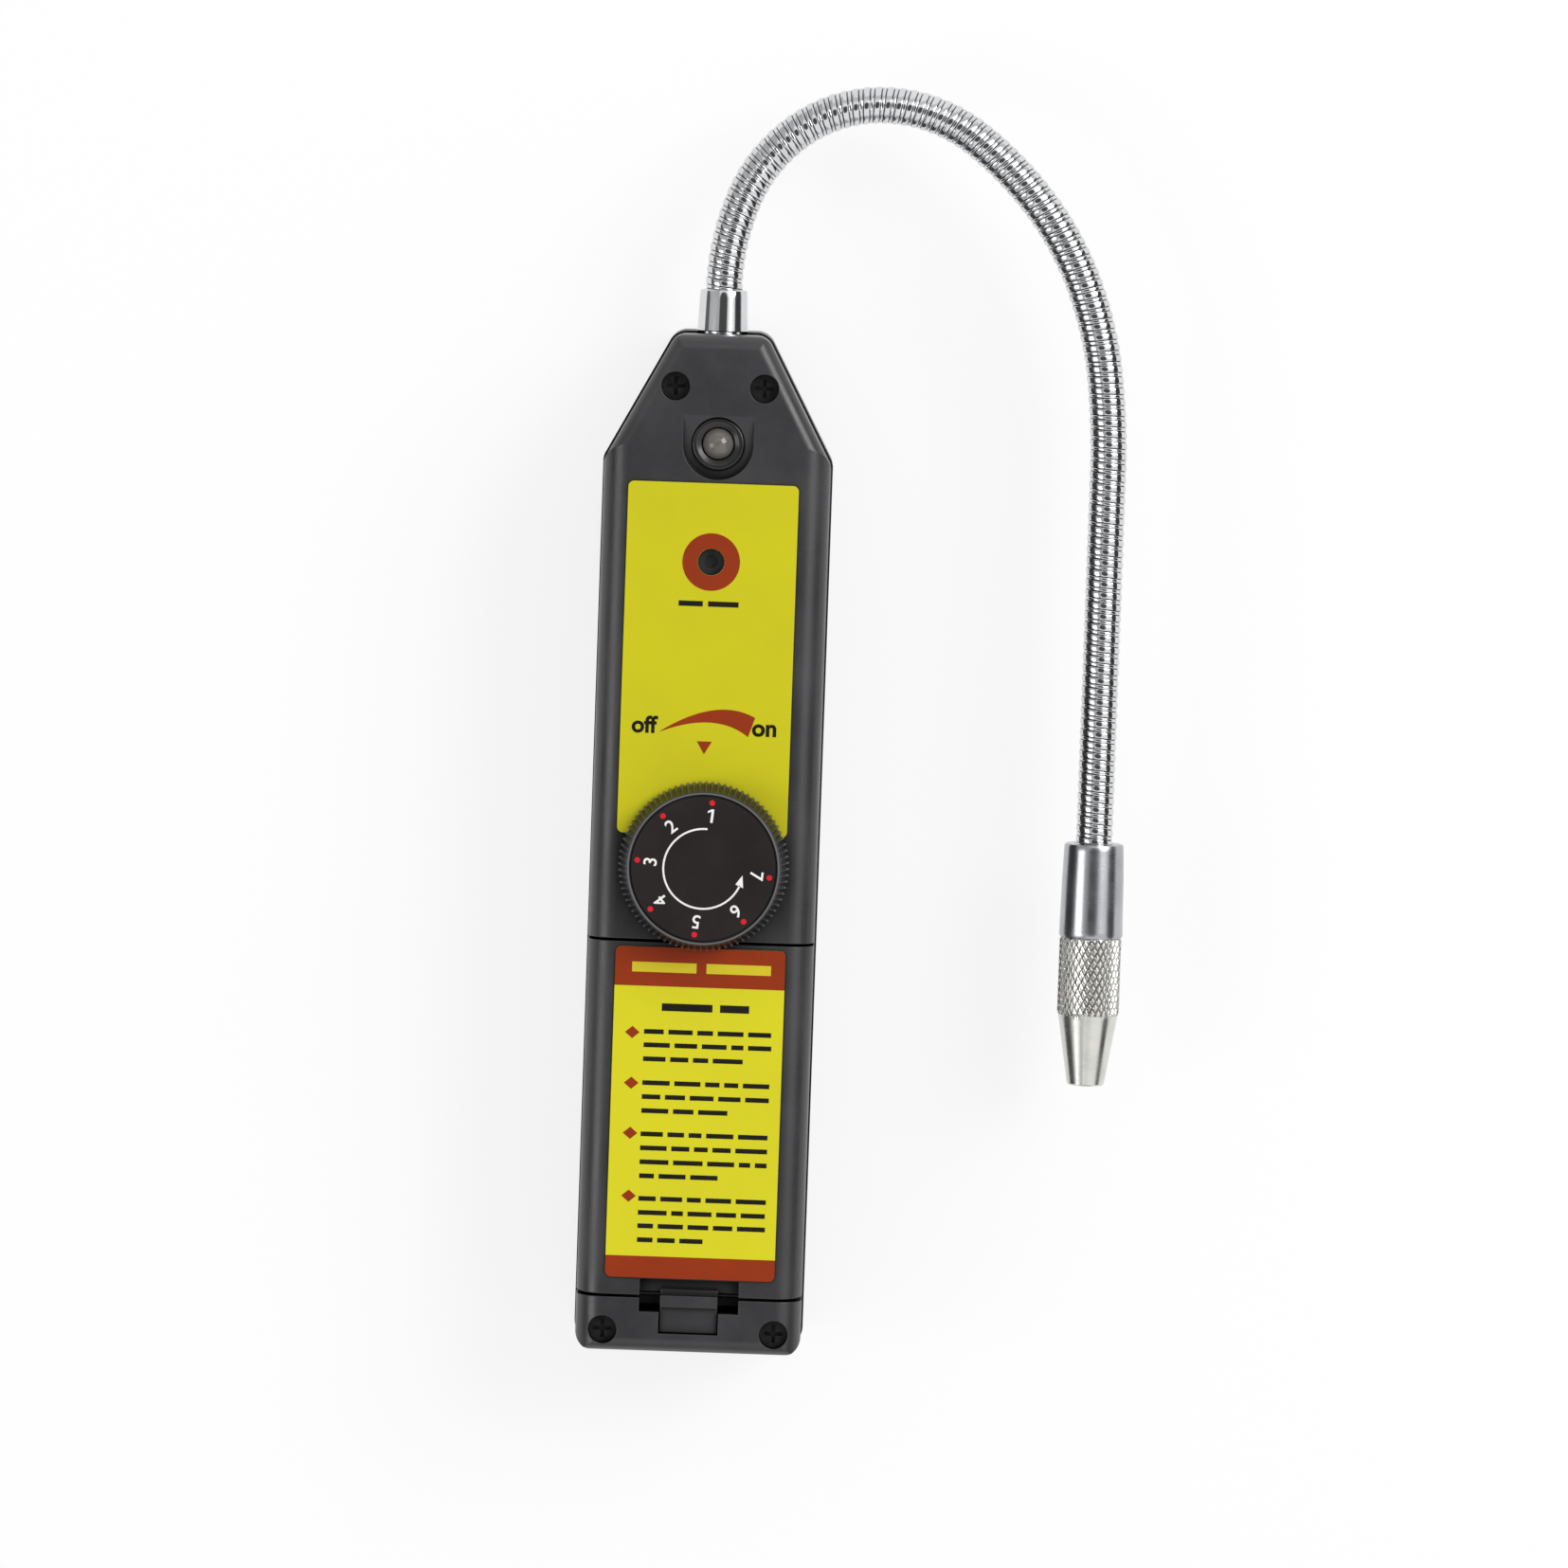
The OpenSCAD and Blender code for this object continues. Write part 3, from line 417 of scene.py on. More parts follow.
def finer(profile: list[tuple[float, float]], step: float) -> np.ndarray:
    """Adds points along each straight run of a profile so that none is longer than a step.

    Args:
        profile: Radius and height pairs.
        step: Longest run in millimetres.

    Returns:
        The denser profile.
    """
    ends = np.array(profile, float)
    runs = [np.linspace(a, b, max(1, math.ceil(np.hypot(*(b - a)) / step)), endpoint=False)
            for a, b in zip(ends[:-1], ends[1:])]
    return np.concatenate(runs + [ends[-1:]])


def make_piece(name: str, shape: Shape, finish: Finish, body: str = "",
               replaces: tuple[str, ...] = (), sharp: float = 32.0,
               soil: np.ndarray | None = None) -> bpy.types.Object:
    """Puts a shape into the scene as one piece.

    Doubles are merged, so seams and poles close, and the faces are turned outwards.

    Args:
        name: Name of the piece.
        shape: Points in millimetres of the shared frame, and faces.
        finish: Its finish.
        body: Body that carries it; left out where no body carries the piece.
        replaces: CAD nodes it stands for.
        sharp: Angle in degrees past which an edge stays crisp.
        soil: Painted shade at each point, from 0 to 1.

    Returns:
        The new object.
    """
    points, faces = shape
    mesh = bpy.data.meshes.new(name)
    mesh.from_pydata((points * MM).tolist(), [], faces)
    if soil is not None:
        mesh.attributes.new("soil", "FLOAT", "POINT").data.foreach_set("value", soil.ravel())
    work = bmesh.new()
    work.from_mesh(mesh)
    bmesh.ops.remove_doubles(work, verts=work.verts, dist=WELD)
    bmesh.ops.dissolve_degenerate(work, edges=work.edges, dist=WELD / 2)
    bmesh.ops.recalc_face_normals(work, faces=work.faces)
    work.to_mesh(mesh)
    work.free()
    mesh.shade_smooth()
    mesh.set_sharp_from_angle(angle=math.radians(sharp))
    mesh.materials.append(finish.material())
    obj = add_object(name, mesh)
    if body:
        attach(obj, body)
    if replaces:
        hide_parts(*replaces)
    return obj


def lettering(text: str, height: float, weight: float) -> Shape:
    """Plain characters as a flat solid one unit thick, centred on the origin.

    The outline font is made a mesh, then scaled so that its height is the one asked for.

    Args:
        text: Characters to set.
        height: Height in millimetres from the lowest to the highest point.
        weight: Thickening of the strokes as a share of the font size.

    Returns:
        Points, with z from 0 to 1, and faces.
    """
    curve = bpy.data.curves.new("characters", "FONT")
    curve.body, curve.extrude, curve.offset, curve.resolution_u = text, 0.5, weight, 6
    holder = add_object("characters", curve)
    bpy.context.view_layer.update()
    mesh = bpy.data.meshes.new_from_object(holder.evaluated_get(bpy.context.evaluated_depsgraph_get()))
    points = np.zeros(len(mesh.vertices) * 3)
    mesh.vertices.foreach_get("co", points)
    points = points.reshape(-1, 3)
    faces = [list(face.vertices) for face in mesh.polygons]
    bpy.data.objects.remove(holder)
    bpy.data.curves.remove(curve)
    bpy.data.meshes.remove(mesh)
    low, high = points.min(0), points.max(0)
    points = points - (low + high) / 2
    points[:, :2] *= height / (high[1] - low[1])
    points[:, 2] += 0.5
    return points, faces


def set_down(shape: Shape, x: float, y: float, low: float, high: float, turn: float = 0.0) -> Shape:
    """Turns a flat solid about its middle and lays it at a place.

    Args:
        shape: Solid with z from 0 to 1.
        x: Place across.
        y: Place along.
        low: Height of its underside.
        high: Height of its top.
        turn: Counter-clockwise turn in degrees.

    Returns:
        The placed shape.
    """
    points, faces = shape
    c, s = math.cos(math.radians(turn)), math.sin(math.radians(turn))
    flat = points[:, :2] @ np.array([[c, s], [-s, c]]) + np.array([x, y])
    return np.column_stack([flat, low + points[:, 2] * (high - low)]), faces


def top_of(node: str) -> float:
    """Height in millimetres of a CAD node's top."""
    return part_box(node)[1].z / MM


def middle_of(node: str) -> np.ndarray:
    """Middle of a CAD node's box in millimetres."""
    low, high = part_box(node)
    return (np.array(low) + np.array(high)) / (2 * MM)


@dataclass
class Studio:
    """White room, floor, soft lamps and the camera.

    The camera looks down on the front, leans towards the neck end and is rolled a little.
    """

    frame_w: float = 267.2
    distance: float = 1500.0
    aim: tuple[float, float, float] = (13.2, 11.2, 36.0)
    roll: float = 2.0
    tilt: float = 4.0
    sensor: float = 36.0
    clip: tuple[float, float] = (50.0, 20000.0)
    floor_size: float = 6000.0
    floor_drop: float = 0.2
    floor_lift: float = 0.79
    fill: float = 0.62
    across: Pairs = (
        (-1.0, 0.14), (-0.95, 0.14), (-0.9, 0.55), (-0.36, 0.5),
        (-0.3, 1.0), (0.8, 1.0), (0.86, 0.05), (1.0, 0.05))
    along: Pairs = (
        (-1.0, 0.5), (-0.92, 0.5), (-0.84, 1.0), (0.55, 1.0),
        (0.62, 0.7), (0.84, 0.7), (0.9, 1.0), (1.0, 1.0))
    upward: Pairs = ((-1.0, 1.0), (0.925, 1.0), (0.955, 0.08), (1.0, 0.08))

    def build(self) -> None:
        """Sets up everything that isn't part of the object."""
        self.paint_room()
        self.lay_floor()
        self.hang_lamp("key_softbox", (1150.0, 750.0, 1350.0), size=1000.0, power=20.0)
        self.hang_lamp("left_softbox", (-1300.0, -300.0, 1200.0), size=800.0, power=6.0)
        self.place_camera()

    def looks(self, tree: bpy.types.NodeTree) -> tuple[bpy.types.NodeSocket, bpy.types.NodeSocket]:
        """Tells rays that show the room from those that only light the object.

        Args:
            tree: Node tree that asks.

        Returns:
            Socket that is one for camera, transmission and glossy rays, and one for glossy rays alone.
        """
        path = add_node(tree, "ShaderNodeLightPath").outputs
        seen = path["Is Camera Ray"]
        for kind in ("Is Transmission Ray", "Is Glossy Ray"):
            either = add_node(tree, "ShaderNodeMath", {0: seen, 1: path[kind]}, operation="MAXIMUM")
            seen = either.outputs["Value"]
        return seen, path["Is Glossy Ray"]

    def shades(self, tree: bpy.types.NodeTree, value: bpy.types.NodeSocket,
               stops: Pairs) -> bpy.types.NodeSocket:
        """Grey levels of the room along one of its directions.

        Args:
            tree: The room's node tree.
            value: Direction's part along that way, from -1 to 1.
            stops: Pairs of part and grey level, from -1 to 1.

        Returns:
            Socket with the grey level.
        """
        share = add_node(tree, "ShaderNodeMapRange", {"Value": value, "From Min": -1.0})
        ramp = add_node(tree, "ShaderNodeValToRGB", {"Fac": share.outputs["Result"]})
        levels = ramp.color_ramp.elements
        for place, _ in stops[1:-1]:
            levels.new((place + 1) / 2)
        for level, (_, grey) in zip(levels, stops):
            level.color = (grey, grey, grey, 1.0)
        return ramp.outputs["Color"]

    def paint_room(self) -> None:
        """White world with the dark patches that a real studio leaves for bright metal.

        Reflections see white, broken by dark flags to the sides and ends and by the dark lens
        overhead; the camera sees plain white and the fill light is weaker.
        """
        world = bpy.data.worlds.new("soft_room")
        bpy.context.scene.world = world
        world.use_nodes = True
        tree = world.node_tree
        tree.nodes.clear()
        look = add_node(tree, "ShaderNodeTexCoord").outputs["Generated"]
        parts = add_node(tree, "ShaderNodeSeparateXYZ", {"Vector": look}).outputs
        studio = self.shades(tree, parts["X"], self.across)
        for axis, stops in (("Y", self.along), ("Z", self.upward)):
            level = self.shades(tree, parts[axis], stops)
            darker = add_node(tree, "ShaderNodeMath", {0: studio, 1: level}, operation="MINIMUM")
            studio = darker.outputs["Value"]
        seen, glossy = self.looks(tree)
        colour = add_node(tree, "ShaderNodeMix", {
            FACTOR: glossy, FIRST: linear("#ffffff"), SECOND: studio}, data_type="RGBA")
        strength = add_node(tree, "ShaderNodeMapRange", {"Value": seen, "To Min": self.fill})
        light = add_node(tree, "ShaderNodeBackground", {
            "Color": colour.outputs[MIXED], "Strength": strength.outputs["Result"]})
        add_node(tree, "ShaderNodeOutputWorld", {"Surface": light.outputs["Background"]})

    def lay_floor(self) -> None:
        """Pale floor under the object, lifted towards white for what sees it directly, shadow kept."""
        paint = bpy.data.materials.new("matt_white_floor")
        paint.use_nodes = True
        tree = paint.node_tree
        tree.nodes.clear()
        seen, _ = self.looks(tree)
        lift = add_node(tree, "ShaderNodeMath", {0: seen, 1: self.floor_lift}, operation="MULTIPLY")
        matt = add_node(tree, "ShaderNodeBsdfDiffuse", {"Color": linear("#f4f4f3")})
        glow = add_node(tree, "ShaderNodeEmission", {"Color": linear("#ffffff"), "Strength": 1.0})
        mixed = add_node(tree, "ShaderNodeMixShader", {
            0: lift.outputs["Value"], 1: matt.outputs["BSDF"], 2: glow.outputs["Emission"]})
        add_node(tree, "ShaderNodeOutputMaterial", {"Surface": mixed.outputs["Shader"]})
        reach, low = self.floor_size * MM / 2, -self.floor_drop * MM
        mesh = bpy.data.meshes.new("floor")
        corners = [(x * reach, y * reach, low) for x, y in ((-1, -1), (1, -1), (1, 1), (-1, 1))]
        mesh.from_pydata(corners, [], [(0, 1, 2, 3)])
        mesh.materials.append(paint)
        floor = add_object("floor", mesh)

    def hang_lamp(self, name: str, place: tuple[float, float, float], size: float, power: float) -> None:
        """Hangs one square softbox that faces the object.

        Args:
            name: Name of the lamp.
            place: Where it hangs.
            size: Side of the square.
            power: Watts.
        """
        lamp = bpy.data.lights.new(name, "AREA")
        lamp.size, lamp.energy = size * MM, power
        holder = add_object(name, lamp)
        holder.location = Vector(place) * MM
        holder.rotation_euler = holder.location.to_track_quat("Z", "Y").to_euler()

    def place_camera(self) -> None:
        """Sets the camera's axes from its roll and tilt, and its lens from the frame's width."""
        roll, tilt = math.radians(self.roll), math.radians(self.tilt)
        right = Vector((math.cos(roll), math.sin(roll), 0))
        away = Vector((-math.sin(roll), math.cos(roll), 0))
        back = Vector(UP) * math.cos(tilt) + away * math.sin(tilt)
        data = bpy.data.cameras.new("photo_camera")
        data.sensor_width, data.lens = self.sensor, self.sensor * self.distance / self.frame_w
        data.clip_start, data.clip_end = (reach * MM for reach in self.clip)
        camera = add_object("photo_camera", data)
        axes = Matrix((right, back.cross(right), back)).transposed().to_4x4()
        camera.matrix_world = Matrix.Translation(Vector(self.aim) * MM + back * self.distance * MM) @ axes
        bpy.context.scene.camera = camera


@dataclass
class Housing:
    """The two mouldings, the cover and the four screws, as the CAD has them."""

    def build(self) -> list[bpy.types.Object]:
        """Dresses the mouldings and screws."""
        mouldings = ABS.dress("front_housing", "rear_housing", "battery_cover")
        return mouldings + BLACK_STEEL.dress("housing_screws")


@dataclass(frozen=True)
class PrintRow:
    """Row of short printed bars, laid out like a line of small print.

    Attributes:
        left: Left end.
        right: Right end.
        foot: Foot of the line, from the housing's bottom end.
        height: Height of a bar, and the gap between two.
        bar: Mean length of a bar.
        seed: Seed of the bars' lengths.
    """

    left: float
    right: float
    foot: float
    height: float
    bar: float
    seed: int

    def bars(self, low: float) -> list[Shape]:
        """Lays out the bars.

        Running sums of seeded bar lengths and even gaps give the places; the row is then
        stretched to end at the right end.

        Args:
            low: Height of the surface it is printed on.

        Returns:
            One shape for each bar.
        """
        rng = np.random.default_rng(self.seed)
        span, y = self.right - self.left, self.foot - ORIGIN_Y
        count = max(1, round(span / (self.bar + self.height)))
        length = self.bar * rng.uniform(0.5, 1.5, count)
        length *= (span - self.height * (count - 1)) / length.sum()
        start = self.left + np.concatenate([[0], np.cumsum(length + self.height)[:-1]])
        return [slab(a, b, y, y + self.height, low, low + INK) for a, b in zip(start, start + length)]


def round_band(half: float, straight: float, curved: float, r: float, low: float, high: float) -> Shape:
    """Field across a label whose outer edge has the label's round corners.

    Along a corner at turn t the edge lies r (1 - cos t) from the side and r (1 - sin t) inside.

    Args:
        half: Half its width.
        straight: Place of the straight edge.
        curved: Place of the edge with round corners.
        r: Radius of the corners.
        low: Height of its underside.
        high: Height of its top.

    Returns:
        Closed shape.
    """
    t = np.linspace(0, np.pi / 2, 9)
    x, inside = r * (1 - np.cos(t)) - half, r * (1 - np.sin(t)) * np.sign(straight - curved)
    across = np.concatenate([x, -x[::-1]])
    edge = curved + np.concatenate([inside, inside[::-1]])
    inner = np.stack([across, np.full_like(across, straight)], axis=1)
    return strip(inner, np.stack([across, edge], axis=1), low, high)


def bent(points: Pairs, count: int) -> np.ndarray:
    """Parabola through three points, one at the start, one half way and one at the end.

    Args:
        points: The three points.
        count: Points along the curve.

    Returns:
        Array of shape count, 2.
    """
    t = np.linspace(0, 1, count)[:, None]
    a, b, c = np.array(points, float)
    return a * (1 - t) * (1 - 2 * t) + b * 4 * t * (1 - t) + c * t * (2 * t - 1)


@dataclass
class UpperLabel:
    """Yellow label round the sounder hole with a ring, a sweep, a pointer and the switch words."""

    hole_r: float = 2.32
    ring_r: float = 4.9
    words_y: float = 106.6
    off_x: float = -10.85
    on_x: float = 9.5
    x_height: float = 2.15
    ascent: float = 1.4
    stroke: float = 0.03
    sweep_foot: Pairs = ((-8.2, 106.95), (0.2, 108.75), (6.8, 106.5))
    sweep_head: Pairs = ((-8.2, 107.05), (0.6, 110.85), (7.9, 109.8))
    pointer_foot: Pairs = ((-1.9, 105.5), (-0.62, 103.3), (0.65, 105.5))
    pointer_head: Pairs = ((-1.9, 105.5), (-0.62, 105.5), (0.65, 105.5))
    caption: PrintRow = PrintRow(-5.8, 4.4, 128.5, 0.9, 4.6, seed=3)

    def build(self) -> list[bpy.types.Object]:
        """Dresses the label and prints on it.

        Returns:
            The label and its inks.
        """
        low = top_of("upper_label")
        high = low + INK
        hole = np.array([*middle_of("buzzer")[:2], low])
        flat = [(self.hole_r, 0), (self.ring_r, 0), (self.ring_r, INK), (self.hole_r, INK)]
        ring = turned(np.array(flat), 96, hole, UP, ring=True)
        shift = np.array([0, -ORIGIN_Y])
        sweep = strip(bent(self.sweep_foot, 40) + shift, bent(self.sweep_head, 40) + shift, low, high)
        pointer = strip(np.array(self.pointer_foot) + shift, np.array(self.pointer_head) + shift, low, high)
        foot = self.words_y - ORIGIN_Y
        switch = (("off", self.off_x, self.ascent * self.x_height), ("on", self.on_x, self.x_height))
        words = [set_down(lettering(word, tall, self.stroke), x, foot + tall / 2, low, high)
                 for word, x, tall in switch] + self.caption.bars(low)
        return FOIL.dress("upper_label") + [
            make_piece("upper_label_red_print", join([ring, sweep, pointer]), RED_INK, "housing"),
            make_piece("upper_label_black_print", join(words), BLACK_INK, "housing")]


@dataclass
class CoverLabel:
    """Yellow label on the cover with red bands, marks and rows of small print."""

    left: float = -9.2
    corner: float = 1.0
    head_band: float = 6.7
    foot_band: float = 3.7
    print_h: float = 0.8
    bar: float = 3.4
    first_seed: int = 20
    title: PrintRow = PrintRow(-6.3, 8.6, 59.2, 1.3, 6.0, seed=9)
    heading: PrintRow = PrintRow(-11.6, 12.1, 65.8, 1.7, 8.0, seed=5)
    mark: tuple[float, float] = (2.5, 2.1)
    marks: Pairs = ((-11.2, 55.4), (-11.1, 46.7), (-11.0, 38.1), (-10.9, 27.3))
    rows: Pairs = (
        (55.6, 12.5), (53.3, 12.6), (50.9, 7.8), (46.8, 12.5), (44.4, 12.5), (42.0, 5.5), (38.0, 12.5),
        (35.6, 12.5), (33.2, 12.5), (30.8, 4.2), (26.9, 12.6), (24.5, 12.5), (22.2, 12.6), (19.8, 2.0))

    def build(self) -> list[bpy.types.Object]:
        """Dresses the label and prints on it.

        Returns:
            The label and its inks.
        """
        low = top_of("cover_label")
        foot, head = (corner.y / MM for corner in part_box("cover_label"))
        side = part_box("cover_label")[1].x / MM
        bands = [round_band(side, head - self.head_band, head, self.corner, low, low + INK),
                 round_band(side, foot + self.foot_band, foot, self.corner, low, low + INK)]
        wide, tall = self.mark
        diamond = np.array([(-wide / 2, 0), (0, -tall / 2), (wide / 2, 0)])
        marks = [strip(diamond + place, diamond * (1, -1) + place, low, low + INK)
                 for place in np.array(self.marks) - (0, ORIGIN_Y)]
        lines = [PrintRow(self.left, right, y - self.print_h / 2, self.print_h, self.bar, seed)
                 for seed, (y, right) in enumerate(self.rows, self.first_seed)]
        bars = [bar for line in (*lines, self.title) for bar in line.bars(low)]
        heading = self.heading.bars(low + INK)
        return COVER_FOIL.dress("cover_label") + [
            make_piece("cover_label_red_print", join(bands + marks), RED_INK, "cover"),
            make_piece("cover_label_black_print", join(bars), BLACK_INK, "cover"),
            make_piece("cover_label_heading", join(heading), YELLOW_INK, "cover")]


@dataclass
class Dial:
    """Grip knob with rounded teeth and its numbered disc."""

    teeth: int = 84
    per_tooth: int = 8
    tooth: float = 0.5
    base_r: float = 14.6
    top_r: float = 13.1
    disc_r: float = 12.3
    disc_drop: float = 0.06
    disc_edge: float = 0.08
    rim_r: float = 0.3
    scuff_w: float = 0.02
    bore_r: float = 3.05
    bore_drop: float = 1.2
    hub_r: float = 5.0
    hub_drop: float = 4.8
    skirt_r: float = 10.7
    roof_drop: float = 2.4
    number_r: float = 9.1
    number_h: float = 2.3
    stroke: float = 0.01
    dot_r: float = 11.3
    dot_d: float = 0.95
    first: float = 5.8
    spacing: float = 45.0
    arc_r: float = 6.8
    arc_w: float = 0.32
    arc_span: tuple[float, float] = (86.0, 337.0)
    head_span: tuple[float, float] = (336.0, 352.5)
    head_base: tuple[float, float] = (6.05, 7.5)
    head_tip: float = 6.75

    def build(self) -> list[bpy.types.Object]:
        """Makes the knob, the disc and the print on it.

        Returns:
            The knob, disc and inks.
        """
        return [self.knob(), self.disc(), *self.inks()]

    def axis(self) -> np.ndarray:
        """Point on the knob's axis at height zero."""
        return middle_of("sensitivity_knob") * (1, 1, 0)

    def knob(self) -> bpy.types.Object:
        """Turned knob, hollow underneath, whose flank takes a rounded wave for each tooth.

        Painted shade fills the grooves and most of the rim; where it lifts, on the crests towards
        their foot and along the rim's top, the light colour stands as a painted highlight.

        Returns:
            The piece.
        """
        low, high = (corner.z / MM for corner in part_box("sensitivity_knob"))
        edge = high - self.rim_r - 0.05
        flank = [(self.base_r - 0.2, low), (self.base_r, low + 0.25), (self.top_r + 0.03, edge)]
        over = np.linspace(0, np.pi, 13)
        rim = np.stack([self.top_r - self.rim_r * (1 - np.cos(over)),
                        high - self.rim_r * (1 - np.sin(over))], axis=1)
        rest = [(self.disc_r + 0.06, high - 0.45), (self.disc_r + 0.06, high - 0.5), (0, high - 0.5)]
        bore, hub, roof = high - self.bore_drop, high - self.hub_drop, high - self.roof_drop
        inside = [(0, bore), (self.bore_r, bore), (self.bore_r, hub), (self.hub_r, hub), (self.hub_r, roof),
                  (self.skirt_r, roof), (self.skirt_r, low), (self.base_r - 0.2, low)]
        profile = np.concatenate([finer(inside, 3.0)[:-1], finer(flank, 0.6), rim, np.array(rest)])
        weight = np.interp(profile[:, 1], [low, low + 0.25, edge - 0.6, edge], [0.8, 1.0, 0.7, 0.0])
        weight *= profile[:, 0] > self.top_r
        cols = self.per_tooth * self.teeth
        turn = np.linspace(0, 2 * np.pi, cols, endpoint=False)
        wave = np.abs(np.sin(self.teeth * turn / 2)) ** 1.5
        shape = turned(profile, cols, self.axis(), UP, self.tooth * weight[:, None] * wave)
        # Painted highlight along the rim's top and on the crests, painted shade in the grooves.
        rim_highlight = np.exp(-((profile[:, 1] - high) / self.scuff_w) ** 2)[:, None]
        rise = np.interp(profile[:, 1], [low + 0.3, low + 3.0], [0.0, 0.8])[:, None]
        soil = np.where(weight[:, None] > 0, np.clip(1.6 * wave + rise, 0, 1), 0.9 - 0.7 * rim_highlight)
        return make_piece("grip_knob", shape, GRIP, "knob", ("sensitivity_knob",), 40.0, soil)

    def disc(self) -> bpy.types.Object:
        """Thin disc let into the knob, with a softened edge.

        Returns:
            The piece.
        """
        low, high = (corner.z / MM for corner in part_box("knob_dial"))
        high -= self.disc_drop
        r, edge = self.disc_r, self.disc_edge
        profile = [(0, low), (r, low), (r, high - edge), (r - edge, high), (0, high)]
        shape = turned(finer(profile, 1.5), 160, self.axis(), UP)
        return make_piece("numbered_disc", shape, DISC, "knob", ("knob_dial",))

    def figure_one(self) -> Shape:
        """Figure 1 as a stem with a sloping flag, as high as the other figures.

        Returns:
            Flat solid with z from 0 to 1.
        """
        top, stem = self.number_h / 2, np.array([0.08, 0.5])
        flag = np.array([-0.55, stem[0]])
        slope = np.array([-0.72, -0.42])
        foot, head = (np.stack([flag, top + drop], axis=1) for drop in (slope, slope * (0.55, 0)))
        return join([slab(*stem, -top, top, 0, 1), strip(foot, head, 0, 1)])

    def inks(self) -> list[bpy.types.Object]:
        """Numbers and dots set round the disc, and an arc with an arrow head.

        A number or dot at clockwise turn a and radius r lies at (r sin a, r cos a). The arc and
        its head count counter-clockwise from the right, so a point there is (r cos a, r sin a).

        Returns:
            The white and the red ink.
        """
        low = top_of("knob_dial") - self.disc_drop
        high, middle = low + INK, self.axis()[:2]
        turns = self.first - self.spacing * np.arange(7)
        out = np.stack([np.sin(np.radians(turns)), np.cos(np.radians(turns))], axis=1)
        numbers = [self.figure_one()] + [lettering(str(k), self.number_h, self.stroke) for k in range(2, 8)]
        numbers = [set_down(number, *(middle + self.number_r * way), low, high, -turn)
                   for number, way, turn in zip(numbers, out, turns)]
        spot = np.array([(0, 0), (self.dot_d / 2, 0), (self.dot_d / 2, INK), (0, INK)])
        dots = [turned(spot, 24, np.array([*(middle + self.dot_r * way), low]), UP) for way in out]
        sweep = np.radians(np.linspace(*self.arc_span, 90))
        way = np.stack([np.cos(sweep), np.sin(sweep)], axis=1)
        inner, outer = (middle + (self.arc_r + side * self.arc_w / 2) * way for side in (-1, 1))
        arc = strip(inner, outer, low, high)
        head = np.radians(self.head_span)
        base, tip = np.stack([np.cos(head), np.sin(head)], axis=1)
        inner, outer = (middle + np.array([r * base, self.head_tip * tip]) for r in self.head_base)
        arrow = strip(inner, outer, low, high)
        return [make_piece("disc_white_print", join(numbers + [arc, arrow]), WHITE_INK, "knob"),
                make_piece("disc_red_dots", join(dots), DOT_INK, "knob")]


@dataclass
class Lamp:
    """Milky lamp in a rounded black ring."""

    lens_r: float = 2.8
    ring_r: float = 4.5
    ring_t: float = 1.4
    tube_r: float = 3.55
    lip_r: float = 0.45

    def build(self) -> list[bpy.types.Object]:
        """Makes the ring and the lens.

        Returns:
            The pieces.
        """
        axis = middle_of("led_lens")
        base, top = (corner.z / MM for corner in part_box("led_lens"))
        rim = top_of("led_bezel")
        axis[2] = 0.0
        bore, flange = self.lens_r + 0.05, rim - self.ring_t
        round_off = np.linspace(0, np.pi / 2, 7)
        lip = np.stack([self.ring_r - self.lip_r + self.lip_r * np.cos(round_off),
                        rim - self.lip_r + self.lip_r * np.sin(round_off)], axis=1)
        tube = [(bore, base), (self.tube_r, base), (self.tube_r, flange), (self.ring_r, flange)]
        funnel = [(bore + 0.75, rim), (bore + 0.55, rim - 0.12), (bore, rim - 0.35)]
        ring = turned(np.concatenate([tube, lip, funnel]), 96, axis, UP, ring=True)
        arc = np.linspace(0, np.pi / 2, 22)
        dome = np.stack([self.lens_r * np.cos(arc), top - self.lens_r + self.lens_r * np.sin(arc)], axis=1)
        dome[-1, 0] = 0.0
        lens = np.concatenate([[(0, base), (self.lens_r, base)], dome])
        return [
            make_piece("lamp_ring", ring, NYLON, "housing", ("led_bezel",)),
            make_piece("lamp_lens", turned(lens, 72, axis, UP), EPOXY, "housing", ("led_lens",))]


